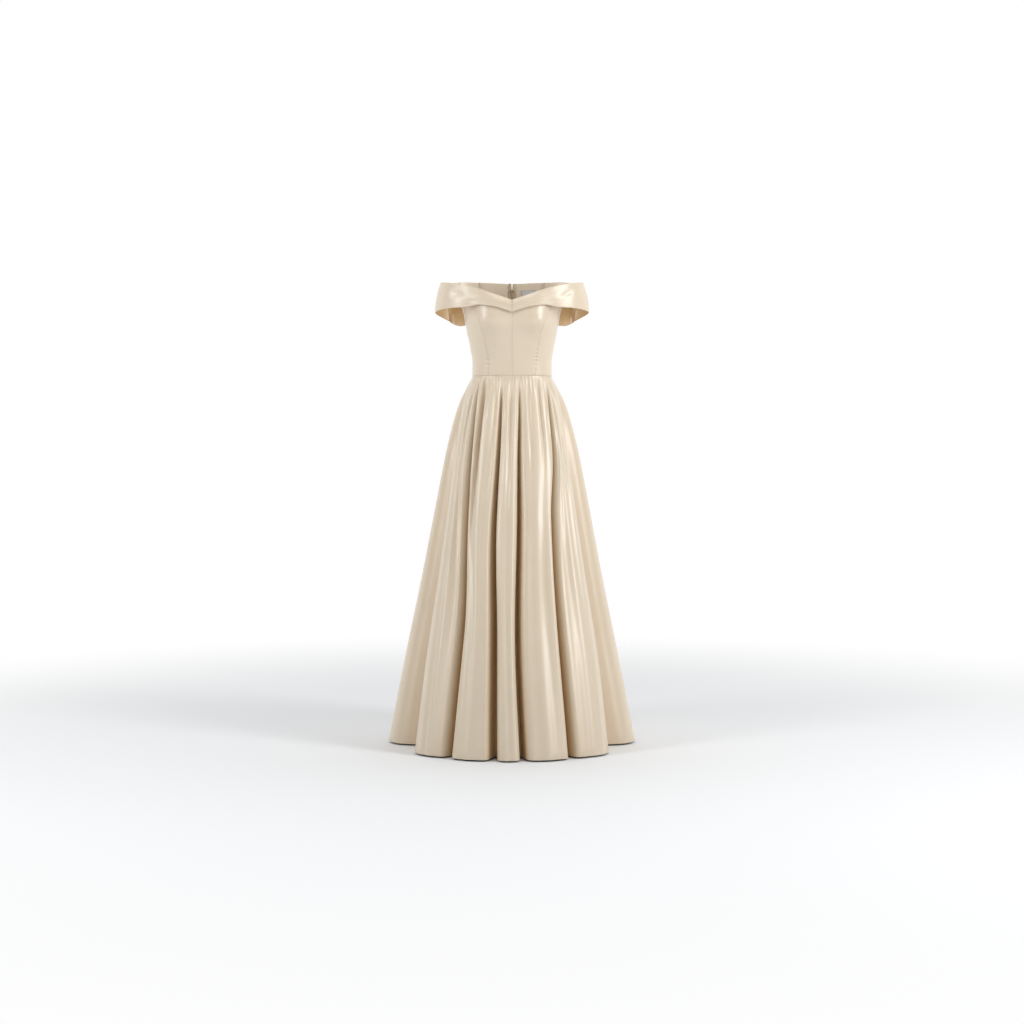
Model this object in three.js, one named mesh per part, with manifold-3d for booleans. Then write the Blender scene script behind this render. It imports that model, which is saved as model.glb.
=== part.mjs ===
// Off-shoulder satin gown, filled out as if worn but with no wearer.
// Millimetres, +Z up. The front faces -Y and +X is the wearer's left.
// The origin is the centre of the waist seam, where the wearer's waist carries the gown.
// Angles run round the Z axis in degrees, from 0 at the centre front over 90 at the wearer's left side to 180
// at the centre back.

import * as THREE from "three";
import Module from "manifold-3d";

const wasm = await Module();
wasm.setup();

// A table whose columns are named once, above its rows.
function namedRows(names, rows) {
  const columns = names.split(" ");
  return rows.map((row) => Object.fromEntries(columns.map((name, i) => [name, row[i]])));
}

// Driving dimensions
const CLOTH = 2;
const FOLDED_CLOTH = 3;
const SEAM_GAP = 0.3;
const SKIRT_LENGTH = 1092;
const NECKLINE_TO_BODICE = 4;
const BACK_OF_ARM_ANGLE = 104;
const SLEEVE = { sag: 5, fullness: 0.9, outside: 0.3, short: 0.5 };
const ZIP_BELOW_WAIST = 210;
const ZIP_TOP = 268;

// Torso form, a section at each height above the waist: half width, depth to the front and to the back,
// and how square the section is (2 is an ellipse).
const TORSO = [
  { height: 0, side: 118.5, front: 92, back: 84, square: 2.3 },
  { height: 45, side: 118.5, front: 96, back: 84, square: 2.35 },
  { height: 75, side: 123, front: 102, back: 86, square: 2.4 },
  { height: 100, side: 127.5, front: 108, back: 89, square: 2.45 },
  { height: 123, side: 133, front: 114, back: 91, square: 2.5 },
  { height: 150, side: 137.5, front: 119, back: 94, square: 2.5 },
  { height: 175, side: 141, front: 121, back: 97, square: 2.45 },
  { height: 204, side: 150, front: 120, back: 99, square: 2.35 },
  { height: 235, side: 168, front: 118, back: 100, square: 2.25 },
  { height: 262, side: 193, front: 117, back: 100, square: 2.15 },
  { height: 287, side: 209, front: 116, back: 100, square: 2.1 },
];
const BUST = { angle: 31, spread: 19, height: 160, above: 52, below: 40, fullness: 13 };

// Seams of the bodice: distance from the centre line at each height.
const FRONT_PRINCESS = [
  { height: 0, apart: 69 },
  { height: 36, apart: 70 },
  { height: 80, apart: 75 },
  { height: 113, apart: 83 },
  { height: 147, apart: 93 },
  { height: 177, apart: 103 },
  { height: 205, apart: 117 },
  { height: 265, apart: 126 },
];
const BACK_PRINCESS = [
  { height: 0, apart: 48 },
  { height: 80, apart: 55 },
  { height: 150, apart: 74 },
  { height: 220, apart: 90 },
  { height: 287, apart: 98 },
];

// Position round half the bodice is counted in panels: 0 centre front, 1 front princess seam, 2 side seam,
// 3 back princess seam, 4 centre back.
const ARMHOLE_FRONT = 1.27;
const UNDERARM = 2;
const ARMHOLE_BACK = 2.55;
const ARMHOLE_COLUMNS = [2, 2.07, 2.14, 2.21, 2.28, 2.37, 2.46, 2.55];
const ARMHOLE = [
  { across: ARMHOLE_FRONT, height: 262 },
  { across: 1.45, height: 235 },
  { across: 1.7, height: 203 },
  { across: 1.86, height: 174 },
  { across: 2, height: 151 },
  { across: 2.1, height: 171 },
  { across: 2.22, height: 203 },
  { across: 2.4, height: 243 },
  { across: ARMHOLE_BACK, height: 286 },
];
const BACK_NECK = [
  { across: ARMHOLE_BACK, height: 286 },
  { across: 3, height: 286 },
  { across: 4, height: 283 },
];

// Folded collar band: heights of its top and bottom edges, and its oval section at each edge.
const COLLAR_TOP = [
  { angle: 0, height: 219 },
  { angle: 26, height: 239 },
  { angle: 48, height: 258 },
  { angle: 60, height: 267 },
  { angle: 72, height: 275 },
  { angle: 90, height: 281 },
  { angle: 115, height: 283 },
];
const COLLAR_BOTTOM = [
  { angle: 0, height: 183 },
  { angle: 9, height: 190 },
  { angle: 20, height: 198 },
  { angle: 31, height: 203 },
  { angle: 41, height: 205 },
  { angle: 50, height: 201 },
  { angle: 57, height: 198.5 },
  { angle: 70, height: 197 },
  { angle: 80, height: 193 },
  { angle: 90, height: 188 },
  { angle: 97, height: 178.5 },
  { angle: 104, height: 164 },
];
const COLLAR_OVAL = [
  { down: 0, side: 212, front: 116, back: 98 },
  { down: 0.5, side: 222, front: 120, back: 90 },
  { down: 1, side: 230, front: 122, back: 80 },
];
const COLLAR = { standoff: 3.5, lowerStandoff: 6.5, roll: 4, blend: 10 };

// Skirt form, a section at each drop below the waist.
const SKIRT = [
  { drop: 0, side: 118.5, front: 92, back: 84, square: 2.3 },
  { drop: 12, side: 125, front: 95, back: 89, square: 2.3 },
  { drop: 30, side: 135, front: 101, back: 98, square: 2.25 },
  { drop: 69, side: 157, front: 114, back: 115, square: 2.2 },
  { drop: 114, side: 174, front: 128, back: 132, square: 2.15 },
  { drop: 204, side: 198, front: 153, back: 160, square: 2.1 },
  { drop: 339, side: 226, front: 187, back: 194, square: 2.05 },
  { drop: 609, side: 277, front: 245, back: 250, square: 2 },
  { drop: 849, side: 324.5, front: 297, back: 301, square: 2 },
  { drop: SKIRT_LENGTH, side: 371.5, front: 350, back: 353, square: 2 },
];

// Deep folds, named by the valley between two crests: its angle at each level, its depth at the hem, and
// how wide it is there on the side before the angle and on the side after it.
const LEVELS = { waist: 0, high: 90, upper: 240, middle: 420, lower: 750, hem: SKIRT_LENGTH };
const VALLEYS = namedRows("waist high upper middle lower hem depth before after", [
  [-83, -82, -78, -76, -73, -68, 88, 58, 58],
  [-57, -50, -44.6, -40, -32.4, -32, 58, 11, 5.5],
  [-19, -16.5, -15.5, -15.8, -11.9, -9.4, 54, 8, 10],
  [13, 11, 7.5, 5.9, 3.3, 5.1, 54, 5.5, 10],
  [61, 52.5, 46.4, 36.8, 32.2, 30.8, 56, 10, 5.5],
  [83, 80, 76, 75, 73.5, 68, 88, 58, 58],
  [106, 106, 107, 108, 108, 108, 50, 13, 7],
  [126, 126, 127, 128, 129, 129, 54, 6, 11],
  [147, 147, 148, 148, 149, 149, 46, 11, 9],
  [168, 168, 169, 170, 171, 171, 54, 11, 6],
  [193, 192, 191, 191, 190, 190, 48, 7, 12],
  [214, 213, 212, 212, 211, 211, 55, 10, 6],
  [235, 234, 233, 232, 232, 231, 46, 9, 11],
  [255, 254, 253, 253, 252, 252, 50, 7, 13],
]);
const VALLEY_GROWTH = [
  { drop: 0, depth: 0, width: 0.28 },
  { drop: 30, depth: 0.07, width: 0.32 },
  { drop: 100, depth: 0.3, width: 0.42 },
  { drop: 250, depth: 0.56, width: 0.55 },
  { drop: 450, depth: 0.76, width: 0.7 },
  { drop: SKIRT_LENGTH, depth: 1, width: 1 },
];
const CREST_ARCH = 15;

// Gathers from the waist seam and shallow troughs lower down, each at a share of the way from one valley
// to the next, between two drops.
const GATHERS = [
  { fold: 0, share: 0.58, from: 0, to: 280, depth: 6, width: 5 },
  { fold: 0, share: 0.75, from: 300, to: 980, depth: 7, width: 24 },
  { fold: 1, share: 0.34, from: 0, to: 600, depth: 22, width: 6 },
  { fold: 1, share: 0.7, from: 0, to: 420, depth: 6, width: 6 },
  { fold: 2, share: 0.5, from: 0, to: 450, depth: 8, width: 6 },
  { fold: 3, share: 0.37, from: 0, to: 380, depth: 6, width: 5 },
  { fold: 3, share: 0.61, from: 0, to: 340, depth: 8, width: 5 },
  { fold: 3, share: 0.47, from: 440, to: 1080, depth: 6, width: 25 },
  { fold: 3, share: 0.76, from: 0, to: 300, depth: 5, width: 5 },
  { fold: 4, share: 0.4, from: 0, to: 300, depth: 6, width: 5 },
  { fold: 4, share: 0.28, from: 420, to: 1080, depth: 5, width: 22 },
  { fold: 5, share: 0.6, from: 0, to: 260, depth: 4, width: 7 },
  { fold: 6, share: 0.5, from: 0, to: 380, depth: 7, width: 6 },
  { fold: 7, share: 0.45, from: 0, to: 340, depth: 6, width: 6 },
  { fold: 8, share: 0.55, from: 0, to: 420, depth: 7, width: 6 },
  { fold: 10, share: 0.5, from: 0, to: 360, depth: 6, width: 6 },
  { fold: 11, share: 0.45, from: 0, to: 400, depth: 7, width: 6 },
  { fold: 12, share: 0.55, from: 0, to: 340, depth: 6, width: 6 },
  { fold: 13, share: 0.4, from: 0, to: 260, depth: 4, width: 7 },
];

const SATIN = new THREE.MeshStandardMaterial({ color: 0xdccab0, roughness: 0.38, metalness: 0 });
const TAPE = new THREE.MeshStandardMaterial({ color: 0xb9a184, roughness: 0.8, metalness: 0 });
const BRASS = new THREE.MeshStandardMaterial({ color: 0x8f7c62, roughness: 0.35, metalness: 1 });
const WOVEN = new THREE.MeshStandardMaterial({ color: 0xd8d6d4, roughness: 0.7, metalness: 0 });

const gown = new THREE.Group();
const radians = THREE.MathUtils.degToRad;
const lerp = THREE.MathUtils.lerp;

// A smooth line through the rows of a table that never overshoots them.
function tableCurve(rows, along, value) {
  const x = rows.map((row) => row[along]);
  const y = rows.map((row) => row[value]);
  const last = x.length - 1;
  const rise = y.slice(1).map((next, i) => (next - y[i]) / (x[i + 1] - x[i]));
  const slope = x.map((_, i) => {
    if (i === 0) return rise[0];
    if (i === last) return rise[last - 1];
    return rise[i - 1] * rise[i] <= 0 ? 0 : 2 / (1 / rise[i - 1] + 1 / rise[i]);
  });
  return (at) => {
    const held = THREE.MathUtils.clamp(at, x[0], x[last]);
    let i = 0;
    while (i < last - 1 && held > x[i + 1]) i += 1;
    const span = x[i + 1] - x[i];
    const t = (held - x[i]) / span;
    const from = y[i] * (1 + 2 * t) * (1 - t) ** 2 + slope[i] * span * t * (1 - t) ** 2;
    return from + y[i + 1] * t * t * (3 - 2 * t) + slope[i + 1] * span * t * t * (t - 1);
  };
}

// One smooth line for each column of a table.
function tableCurves(rows, along) {
  const columns = Object.keys(rows[0]).filter((name) => name !== along);
  return Object.fromEntries(columns.map((name) => [name, tableCurve(rows, along, name)]));
}

// Radius of a closed section, part ellipse and part rectangle, in the direction of an angle in degrees.
function sectionRadius(angle, side, front, back, square) {
  const across = Math.abs(Math.sin(radians(angle))) / side;
  const ahead = Math.cos(radians(angle));
  const along = Math.abs(ahead) / (ahead > 0 ? front : back);
  return (across ** square + along ** square) ** (-1 / square);
}

function pointAt(angle, radius, height) {
  return new THREE.Vector3(radius * Math.sin(radians(angle)), -radius * Math.cos(radians(angle)), height);
}

// Steps from one value to another, both included.
function steps(from, to, count) {
  return Array.from({ length: count + 1 }, (_, i) => lerp(from, to, i / count));
}

// Torso form with the shaping of the cups.
const torso = tableCurves(TORSO, "height");
function torsoRadius(angle, height) {
  const form = [torso.side, torso.front, torso.back, torso.square].map((column) => column(height));
  const turned = (Math.abs(angle) - BUST.angle) / BUST.spread;
  const raised = (height - BUST.height) / (height > BUST.height ? BUST.above : BUST.below);
  return sectionRadius(angle, ...form) + BUST.fullness * Math.exp(-turned * turned - raised * raised);
}

// The angle at which the torso form is a given distance from the centre line.
function angleOfSeam(apart, height, front) {
  let low = front ? 0 : 180;
  let high = 90;
  for (let i = 0; i < 40; i += 1) {
    const middle = (low + high) / 2;
    const reached = torsoRadius(middle, height) * Math.sin(radians(middle));
    if (reached < apart) low = middle;
    else high = middle;
  }
  return low;
}

const frontPrincess = tableCurve(FRONT_PRINCESS, "height", "apart");
const backPrincess = tableCurve(BACK_PRINCESS, "height", "apart");
function bodiceAngle(across, height) {
  const seams = [
    0,
    angleOfSeam(frontPrincess(height), height, true),
    90,
    angleOfSeam(backPrincess(height), height, false),
    180,
  ];
  const panel = THREE.MathUtils.clamp(Math.floor(across), 0, 3);
  return lerp(seams[panel], seams[panel + 1], across - panel);
}

const collarTop = tableCurve(COLLAR_TOP, "angle", "height");
const collarBottom = tableCurve(COLLAR_BOTTOM, "angle", "height");
const armhole = tableCurve(ARMHOLE, "across", "height");
const backNeck = tableCurve(BACK_NECK, "across", "height");
function bodiceTop(across) {
  if (across >= ARMHOLE_BACK) return backNeck(across);
  if (across >= ARMHOLE_FRONT) return armhole(across);
  return collarTop(Math.abs(bodiceAngle(across, armhole(ARMHOLE_FRONT)))) - NECKLINE_TO_BODICE;
}

// A point of the bodice, by its position round the body and its share of the height of the top edge.
function bodiceSurface(across, share) {
  const height = share * bodiceTop(across);
  const angle = bodiceAngle(across, height);
  return pointAt(angle, torsoRadius(angle, height), height);
}

// The band lies on the bust and leaves it in a smooth line for the arm.
const oval = tableCurves(COLLAR_OVAL, "down");
function collarSurface(angle, up) {
  const down = 1 - up;
  const height = lerp(collarTop(Math.abs(angle)), collarBottom(Math.abs(angle)), down);
  const standoff = lerp(COLLAR.standoff, COLLAR.lowerStandoff, down);
  const onBust = torsoRadius(angle, height) + standoff;
  const onArm = sectionRadius(angle, oval.side(down), oval.front(down), oval.back(down), 2);
  const near = Math.max(COLLAR.blend - Math.abs(onBust - onArm), 0);
  const radius = Math.max(onBust, onArm) + (near * near) / (4 * COLLAR.blend);
  return pointAt(angle, radius + COLLAR.roll * Math.sin(Math.PI * down), height);
}

// The back of the sleeve runs from the seam behind the arm to the back of the armhole.
function sleeveBackSurface(share, up) {
  const start = collarSurface(BACK_OF_ARM_ANGLE, up);
  const across = lerp(UNDERARM, ARMHOLE_BACK, up);
  const end = bodiceSurface(across, 1);
  const chord = end.clone().sub(start);
  const outward = new THREE.Vector3(end.x, end.y, 0).normalize();
  end.addScaledVector(outward, SLEEVE.outside);
  end.addScaledVector(chord, -SLEEVE.short / chord.length());
  const heading = collarSurface(BACK_OF_ARM_ANGLE + 1, up).sub(collarSurface(BACK_OF_ARM_ANGLE - 1, up));
  heading.setLength(chord.length() * SLEEVE.fullness);
  const t = share;
  const point = start
    .multiplyScalar((1 + 2 * t) * (1 - t) ** 2)
    .addScaledVector(heading, t * (1 - t) ** 2)
    .addScaledVector(end, t * t * (3 - 2 * t))
    .addScaledVector(chord, t * t * (t - 1) * SLEEVE.fullness);
  point.z -= SLEEVE.sag * Math.sin(Math.PI * t) * (1 - up);
  return point;
}

// Skirt: a crest line with arched crests, deep valleys and short gathers.
const skirt = tableCurves(SKIRT, "drop");
const growth = tableCurves(VALLEY_GROWTH, "drop");
const valleyCurves = VALLEYS.map((valley) => {
  const rows = Object.entries(LEVELS).map(([level, drop]) => ({ drop, angle: valley[level] }));
  return tableCurve(rows, "drop", "angle");
});

function valleyAngle(index, drop) {
  const turns = Math.floor(index / VALLEYS.length);
  return 360 * turns + valleyCurves[index - turns * VALLEYS.length](drop);
}

function valleyOf(index) {
  return VALLEYS[((index % VALLEYS.length) + VALLEYS.length) % VALLEYS.length];
}

// A share of the way from one valley to the next as an angle. The first and last part of it lie in the
// valleys themselves, however narrow they are.
const CHANNEL = { share: 0.2, widths: 2.2 };
function skirtAngle(fold, drop) {
  const index = Math.floor(fold);
  const share = fold - index;
  const here = valleyAngle(index, drop);
  const next = valleyAngle(index + 1, drop);
  const channel = (width) => {
    return THREE.MathUtils.radToDeg((CHANNEL.widths * width * growth.width(drop)) / skirt.side(drop));
  };
  const from = here + channel(valleyOf(index).after);
  const to = next - channel(valleyOf(index + 1).before);
  if (share < CHANNEL.share) return lerp(here, from, share / CHANNEL.share);
  if (share > 1 - CHANNEL.share) return lerp(next, to, (1 - share) / CHANNEL.share);
  return lerp(from, to, (share - CHANNEL.share) / (1 - 2 * CHANNEL.share));
}

function gatherDepth(angle, drop, crest) {
  let depth = 0;
  for (const gather of GATHERS) {
    const gone = (drop - gather.from) / (gather.to - gather.from);
    if (gone <= 0 || gone >= 1) continue;
    const here = skirtAngle(gather.fold + gather.share, drop);
    const turn = ((((angle - here + 180) % 360) + 360) % 360) - 180;
    const away = (radians(turn) * crest) / gather.width;
    depth += gather.depth * Math.sin(Math.PI * Math.sqrt(gone)) ** 2 * Math.exp(-away * away);
  }
  return depth;
}

function skirtRadius(angle, drop) {
  const form = [skirt.side, skirt.front, skirt.back, skirt.square].map((column) => column(drop));
  const crest = sectionRadius(angle, ...form);
  let radius = crest - gatherDepth(angle, drop, crest);
  for (let i = -VALLEYS.length; i < 2 * VALLEYS.length; i += 1) {
    const here = valleyAngle(i, drop);
    const next = valleyAngle(i + 1, drop);
    const away = radians(angle - here) * crest;
    const spread = (away < 0 ? valleyOf(i).before : valleyOf(i).after) * growth.width(drop);
    radius -= (valleyOf(i).depth * growth.depth(drop)) / (1 + (away / spread) ** 4);
    if (angle >= here && angle < next) {
      const middle = (2 * (angle - here)) / (next - here) - 1;
      radius -= CREST_ARCH * growth.depth(drop) * middle * middle;
    }
  }
  return radius;
}

function skirtSurface(fold, height) {
  const angle = skirtAngle(fold, -height);
  return pointAt(angle, skirtRadius(angle, -height), height);
}

// Outward unit normal of a surface whose first parameter runs anticlockwise from the front, and second up.
function normalOf(surface, u, v, reach) {
  const along = surface(u + reach.u, v).sub(surface(u - reach.u, v));
  const up = surface(u, v + reach.v).sub(surface(u, v - reach.v));
  return { along: along.normalize(), up: up.normalize(), out: along.clone().cross(up).normalize() };
}

// The same surface moved in towards the body.
function movedIn(surface, depth, reach) {
  return (u, v) => surface(u, v).addScaledVector(normalOf(surface, u, v, reach).out, -depth);
}

// A closed cloth wall over a grid of columns and rows, cut back at its four edges for the seams.
function clothPanel(name, surface, columns, rows, options = {}) {
  const settings = {
    wall: CLOTH,
    material: SATIN,
    reach: { u: 0.004, v: 0.004 },
    gaps: {},
    mirrored: false,
    ...options,
  };
  const gap = (edge, point) => {
    const value = settings.gaps[edge] ?? 0;
    return typeof value === "function" ? value(point) : value;
  };
  const positions = [];
  const inner = [];
  rows.forEach((row, j) => {
    columns.forEach((column, i) => {
      const point = surface(column, row);
      const { along, up, out } = normalOf(surface, column, row, settings.reach);
      if (i === 0) point.addScaledVector(along, gap("start", point));
      if (i === columns.length - 1) point.addScaledVector(along, -gap("end", point));
      if (j === 0) point.addScaledVector(up, gap("bottom", point));
      if (j === rows.length - 1) point.addScaledVector(up, -gap("top", point));
      const back = point.clone().addScaledVector(out, -settings.wall);
      const side = settings.mirrored ? -1 : 1;
      positions.push(side * point.x, point.y, point.z);
      inner.push(side * back.x, back.y, back.z);
    });
  });
  const across = columns.length;
  const behind = across * rows.length;
  const faces = [];
  const quad = (a, b, c, d) => faces.push(a, b, c, a, c, d);
  for (let j = 0; j < rows.length - 1; j += 1) {
    for (let i = 0; i < across - 1; i += 1) {
      const a = j * across + i;
      quad(a, a + 1, a + 1 + across, a + across);
      quad(behind + a, behind + a + across, behind + a + across + 1, behind + a + 1);
    }
    const start = j * across;
    const end = start + across - 1;
    quad(start, start + across, behind + start + across, behind + start);
    quad(end, behind + end, behind + end + across, end + across);
  }
  const top = (rows.length - 1) * across;
  for (let i = 0; i < across - 1; i += 1) {
    quad(i, behind + i, behind + i + 1, i + 1);
    quad(top + i, top + i + 1, behind + top + i + 1, behind + top + i);
  }
  if (settings.mirrored) faces.reverse();
  const geometry = new THREE.BufferGeometry();
  geometry.setAttribute("position", new THREE.Float32BufferAttribute([...positions, ...inner], 3));
  geometry.setIndex(faces);
  const mesh = new THREE.Mesh(geometry, settings.material);
  mesh.name = name;
  gown.add(mesh);
}

// Two-sided pieces: one on the wearer's left and its mirror image on the right.
function clothPair(name, surface, columns, rows, options = {}) {
  clothPanel(`${name}_left`, surface, columns, rows, options);
  clothPanel(`${name}_right`, surface, columns, rows, { ...options, mirrored: true });
}

const HALF_GAP = SEAM_GAP / 2;

// The two sides of the centre back part at the top, over the zip slider.
const NOTCH = { from: 235, top: 283, opening: 2.2 };
function centreBackGap(point) {
  const share = THREE.MathUtils.clamp((point.z - NOTCH.from) / (NOTCH.top - NOTCH.from), 0, 1);
  return lerp(HALF_GAP, NOTCH.opening, share);
}

// Bodice: front centre, front side, back side and back centre panels.
function addBodice() {
  const rows = steps(0, 1, 12);
  const sewn = { start: HALF_GAP, end: HALF_GAP, bottom: HALF_GAP };
  clothPair("bodice_front_centre", bodiceSurface, steps(0, 1, 8), rows, { gaps: sewn });
  const frontSide = [...steps(1, ARMHOLE_FRONT, 3), 1.36, 1.45, 1.57, 1.7, 1.8, 1.88, 1.95, 2];
  clothPair("bodice_front_side", bodiceSurface, frontSide, rows, { gaps: sewn });
  const backSide = [...ARMHOLE_COLUMNS.slice(0, -1), ...steps(ARMHOLE_BACK, 3, 3)];
  clothPair("bodice_back_side", bodiceSurface, backSide, rows, { gaps: sewn });
  const zipped = { ...sewn, end: centreBackGap };
  clothPair("bodice_back_centre", bodiceSurface, steps(3, 4, 6), rows, { gaps: zipped });
}

// Collar band folded over the neckline, and the back of each sleeve.
function addCollar() {
  const reach = { u: 0.4, v: 0.01 };
  const sewn = { start: HALF_GAP, end: HALF_GAP };
  const front = [...steps(0, 36, 9), ...steps(41, 76, 7), ...steps(80, BACK_OF_ARM_ANGLE, 6)];
  const folded = { wall: FOLDED_CLOTH, reach, gaps: sewn };
  clothPair("collar_front", collarSurface, front, steps(0, 1, 5), folded);
  const back = { reach: { u: 0.01, v: 0.01 }, gaps: { start: HALF_GAP } };
  const rows = ARMHOLE_COLUMNS.map((across) => (across - UNDERARM) / (ARMHOLE_BACK - UNDERARM));
  clothPair("sleeve_back", sleeveBackSurface, steps(0, 1, 8), rows, back);
}

// Skirt: one front panel and two back panels, with columns close together in the valleys and gathers.
const SKIRT_ROWS = [0, 14, 36, 74, 125, ZIP_BELOW_WAIST, 340, 540, 800, SKIRT_LENGTH];
const GATHER_HALF = 0.055;
function foldColumns(fold) {
  const wide = Math.abs(valleyAngle(fold + 1, SKIRT_LENGTH) - valleyAngle(fold, SKIRT_LENGTH));
  const crest = THREE.MathUtils.clamp(Math.round(wide / 3.2), 4, 9);
  const around = ((fold % VALLEYS.length) + VALLEYS.length) % VALLEYS.length;
  const creased = GATHERS.filter((gather) => gather.fold === around && gather.from === 0)
    .flatMap(({ share }) => [share - GATHER_HALF, share, share + GATHER_HALF]);
  const clear = (share) => creased.every((other) => Math.abs(other - share) > GATHER_HALF);
  const plain = steps(CHANNEL.share, 1 - CHANNEL.share, crest).slice(1, -1).filter(clear);
  const valley = [0.05, 0.109, CHANNEL.share];
  const shares = [...valley, ...creased, ...plain, ...valley.map((share) => 1 - share), 1];
  return shares.sort((a, b) => a - b).map((share) => fold + share);
}

function skirtColumns(from, to) {
  const columns = [];
  for (let fold = Math.floor(from); fold <= Math.floor(to); fold += 1) columns.push(...foldColumns(fold));
  return [from, ...columns.filter((column) => column > from + 0.03 && column < to - 0.03), to];
}

function addSkirt() {
  const rows = SKIRT_ROWS.map((drop) => -drop).reverse();
  const sewn = { start: HALF_GAP, end: HALF_GAP, top: HALF_GAP };
  const options = { reach: { u: 0.004, v: 0.5 }, gaps: sewn };
  const leftSide = 5.5;
  const rightSide = -0.5;
  const centreBack = 9.5;
  const around = VALLEYS.length;
  clothPanel("skirt_front", skirtSurface, skirtColumns(rightSide, leftSide), rows, options);
  clothPanel("skirt_back_left", skirtSurface, skirtColumns(leftSide, centreBack), rows, options);
  const last = rightSide + around;
  clothPanel("skirt_back_right", skirtSurface, skirtColumns(centreBack, last), rows, options);
}

// Concealed zip in the centre back seam: a tape on each side, a slider and its pull tab.
const ZIP = { standoff: 0.7, tape: 0.8, inset: 0.9, width: 12 };
function centreBackSurface(pastSeam, height) {
  const radius = (angle) => (height >= 0 ? torsoRadius(angle, height) : skirtRadius(angle, -height));
  const angle = 180 + THREE.MathUtils.radToDeg(pastSeam / radius(180));
  return pointAt(angle, radius(angle), height);
}

function addZipTapes() {
  const reach = { u: 0.5, v: 0.4 };
  const surface = movedIn(centreBackSurface, CLOTH + ZIP.standoff, reach);
  const below = SKIRT_ROWS.filter((drop) => drop > 0 && drop <= ZIP_BELOW_WAIST).map((drop) => -drop);
  const rows = [...below.reverse(), 0, ...steps(24, ZIP_TOP, 11)];
  const columns = [-ZIP.width, -ZIP.width / 2, -ZIP.inset];
  const options = { wall: ZIP.tape, material: TAPE, reach };
  clothPair("zip_tape", surface, columns, rows, options);
}

function solidOf(geometry) {
  const plain = geometry.index ? geometry.toNonIndexed() : geometry;
  const positions = plain.getAttribute("position");
  const corners = new Map();
  const vertices = [];
  const faces = [];
  for (let i = 0; i < positions.count; i += 1) {
    const corner = [positions.getX(i), positions.getY(i), positions.getZ(i)];
    const key = corner.map((value) => value.toFixed(4)).join();
    if (!corners.has(key)) {
      corners.set(key, vertices.length / 3);
      vertices.push(...corner);
    }
    faces.push(corners.get(key));
  }
  const vertProperties = new Float32Array(vertices);
  return new wasm.Manifold(new wasm.Mesh({ numProp: 3, vertProperties, triVerts: new Uint32Array(faces) }));
}

function addSolid(name, solid, material) {
  const { numProp, vertProperties, triVerts } = solid.getMesh();
  const positions = [];
  for (let i = 0; i < vertProperties.length; i += numProp) {
    positions.push(...vertProperties.slice(i, i + 3));
  }
  const geometry = new THREE.BufferGeometry();
  geometry.setAttribute("position", new THREE.Float32BufferAttribute(positions, 3));
  geometry.setIndex([...triVerts]);
  const mesh = new THREE.Mesh(geometry, material);
  mesh.name = name;
  gown.add(mesh);
}

function block(width, depth, height, x, y, z) {
  return solidOf(new THREE.BoxGeometry(width, depth, height).translate(x, y, z));
}

function crossPin(radius, length, x, y, z) {
  const pin = new THREE.CylinderGeometry(radius, radius, length, 14).rotateZ(Math.PI / 2);
  return solidOf(pin.translate(x, y, z));
}

// The slider's neck passes through the seam and carries a cross pin outside, on which the pull tab hangs.
const PIVOT = { y: TORSO.at(-1).back + 2.1, z: 262.5 };
const SLIDER = { width: 7, thickness: 2.6, length: 9, neck: 1, neckHeight: 7, pin: 0.6, pinLength: 5.4 };
function addZipSlider() {
  const tapeInside = TORSO.at(-1).back - CLOTH - ZIP.standoff - ZIP.tape;
  const bodyY = tapeInside - SEAM_GAP - SLIDER.thickness / 2;
  const body = block(SLIDER.width, SLIDER.thickness, SLIDER.length, 0, bodyY, PIVOT.z);
  const neckEnd = PIVOT.y + 1.1;
  const neckY = (neckEnd + bodyY) / 2;
  const neck = block(SLIDER.neck, neckEnd - bodyY, SLIDER.neckHeight, 0, neckY, PIVOT.z);
  const pin = crossPin(SLIDER.pin, SLIDER.pinLength, 0, PIVOT.y, PIVOT.z);
  addSolid("zip_slider", body.add(neck).add(pin), BRASS);
}

const TAB = { thickness: 1.2, armInside: 0.8, armOutside: 2.3, arm: 4.6, length: 22, half: 3.4, eye: 1.5 };
function addPullTab() {
  const outline = new THREE.Shape();
  outline.moveTo(-TAB.armOutside, 0);
  outline.lineTo(-TAB.armOutside, -TAB.arm);
  outline.lineTo(-TAB.half, -TAB.length + TAB.half);
  outline.absarc(0, -TAB.length + TAB.half, TAB.half, Math.PI, 2 * Math.PI, false);
  outline.lineTo(TAB.armOutside, -TAB.arm);
  outline.lineTo(TAB.armOutside, 0);
  outline.lineTo(TAB.armInside, 0);
  outline.lineTo(TAB.armInside, -TAB.arm);
  outline.lineTo(-TAB.armInside, -TAB.arm);
  outline.lineTo(-TAB.armInside, 0);
  const settings = { depth: TAB.thickness, bevelEnabled: false, curveSegments: 12 };
  const plate = new THREE.ExtrudeGeometry(outline, settings);
  plate.rotateX(Math.PI / 2).translate(0, PIVOT.y + TAB.thickness / 2, PIVOT.z);
  const armWidth = TAB.armOutside - TAB.armInside;
  const armMiddle = (TAB.armOutside + TAB.armInside) / 2;
  let tab = solidOf(plate);
  for (const side of [-1, 1]) {
    tab = tab.add(crossPin(TAB.eye, armWidth, side * armMiddle, PIVOT.y, PIVOT.z));
  }
  tab = tab.subtract(crossPin(SLIDER.pin + SEAM_GAP, 3 * TAB.armOutside, 0, PIVOT.y, PIVOT.z));
  addSolid("zip_pull", tab, BRASS);
}

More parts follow.
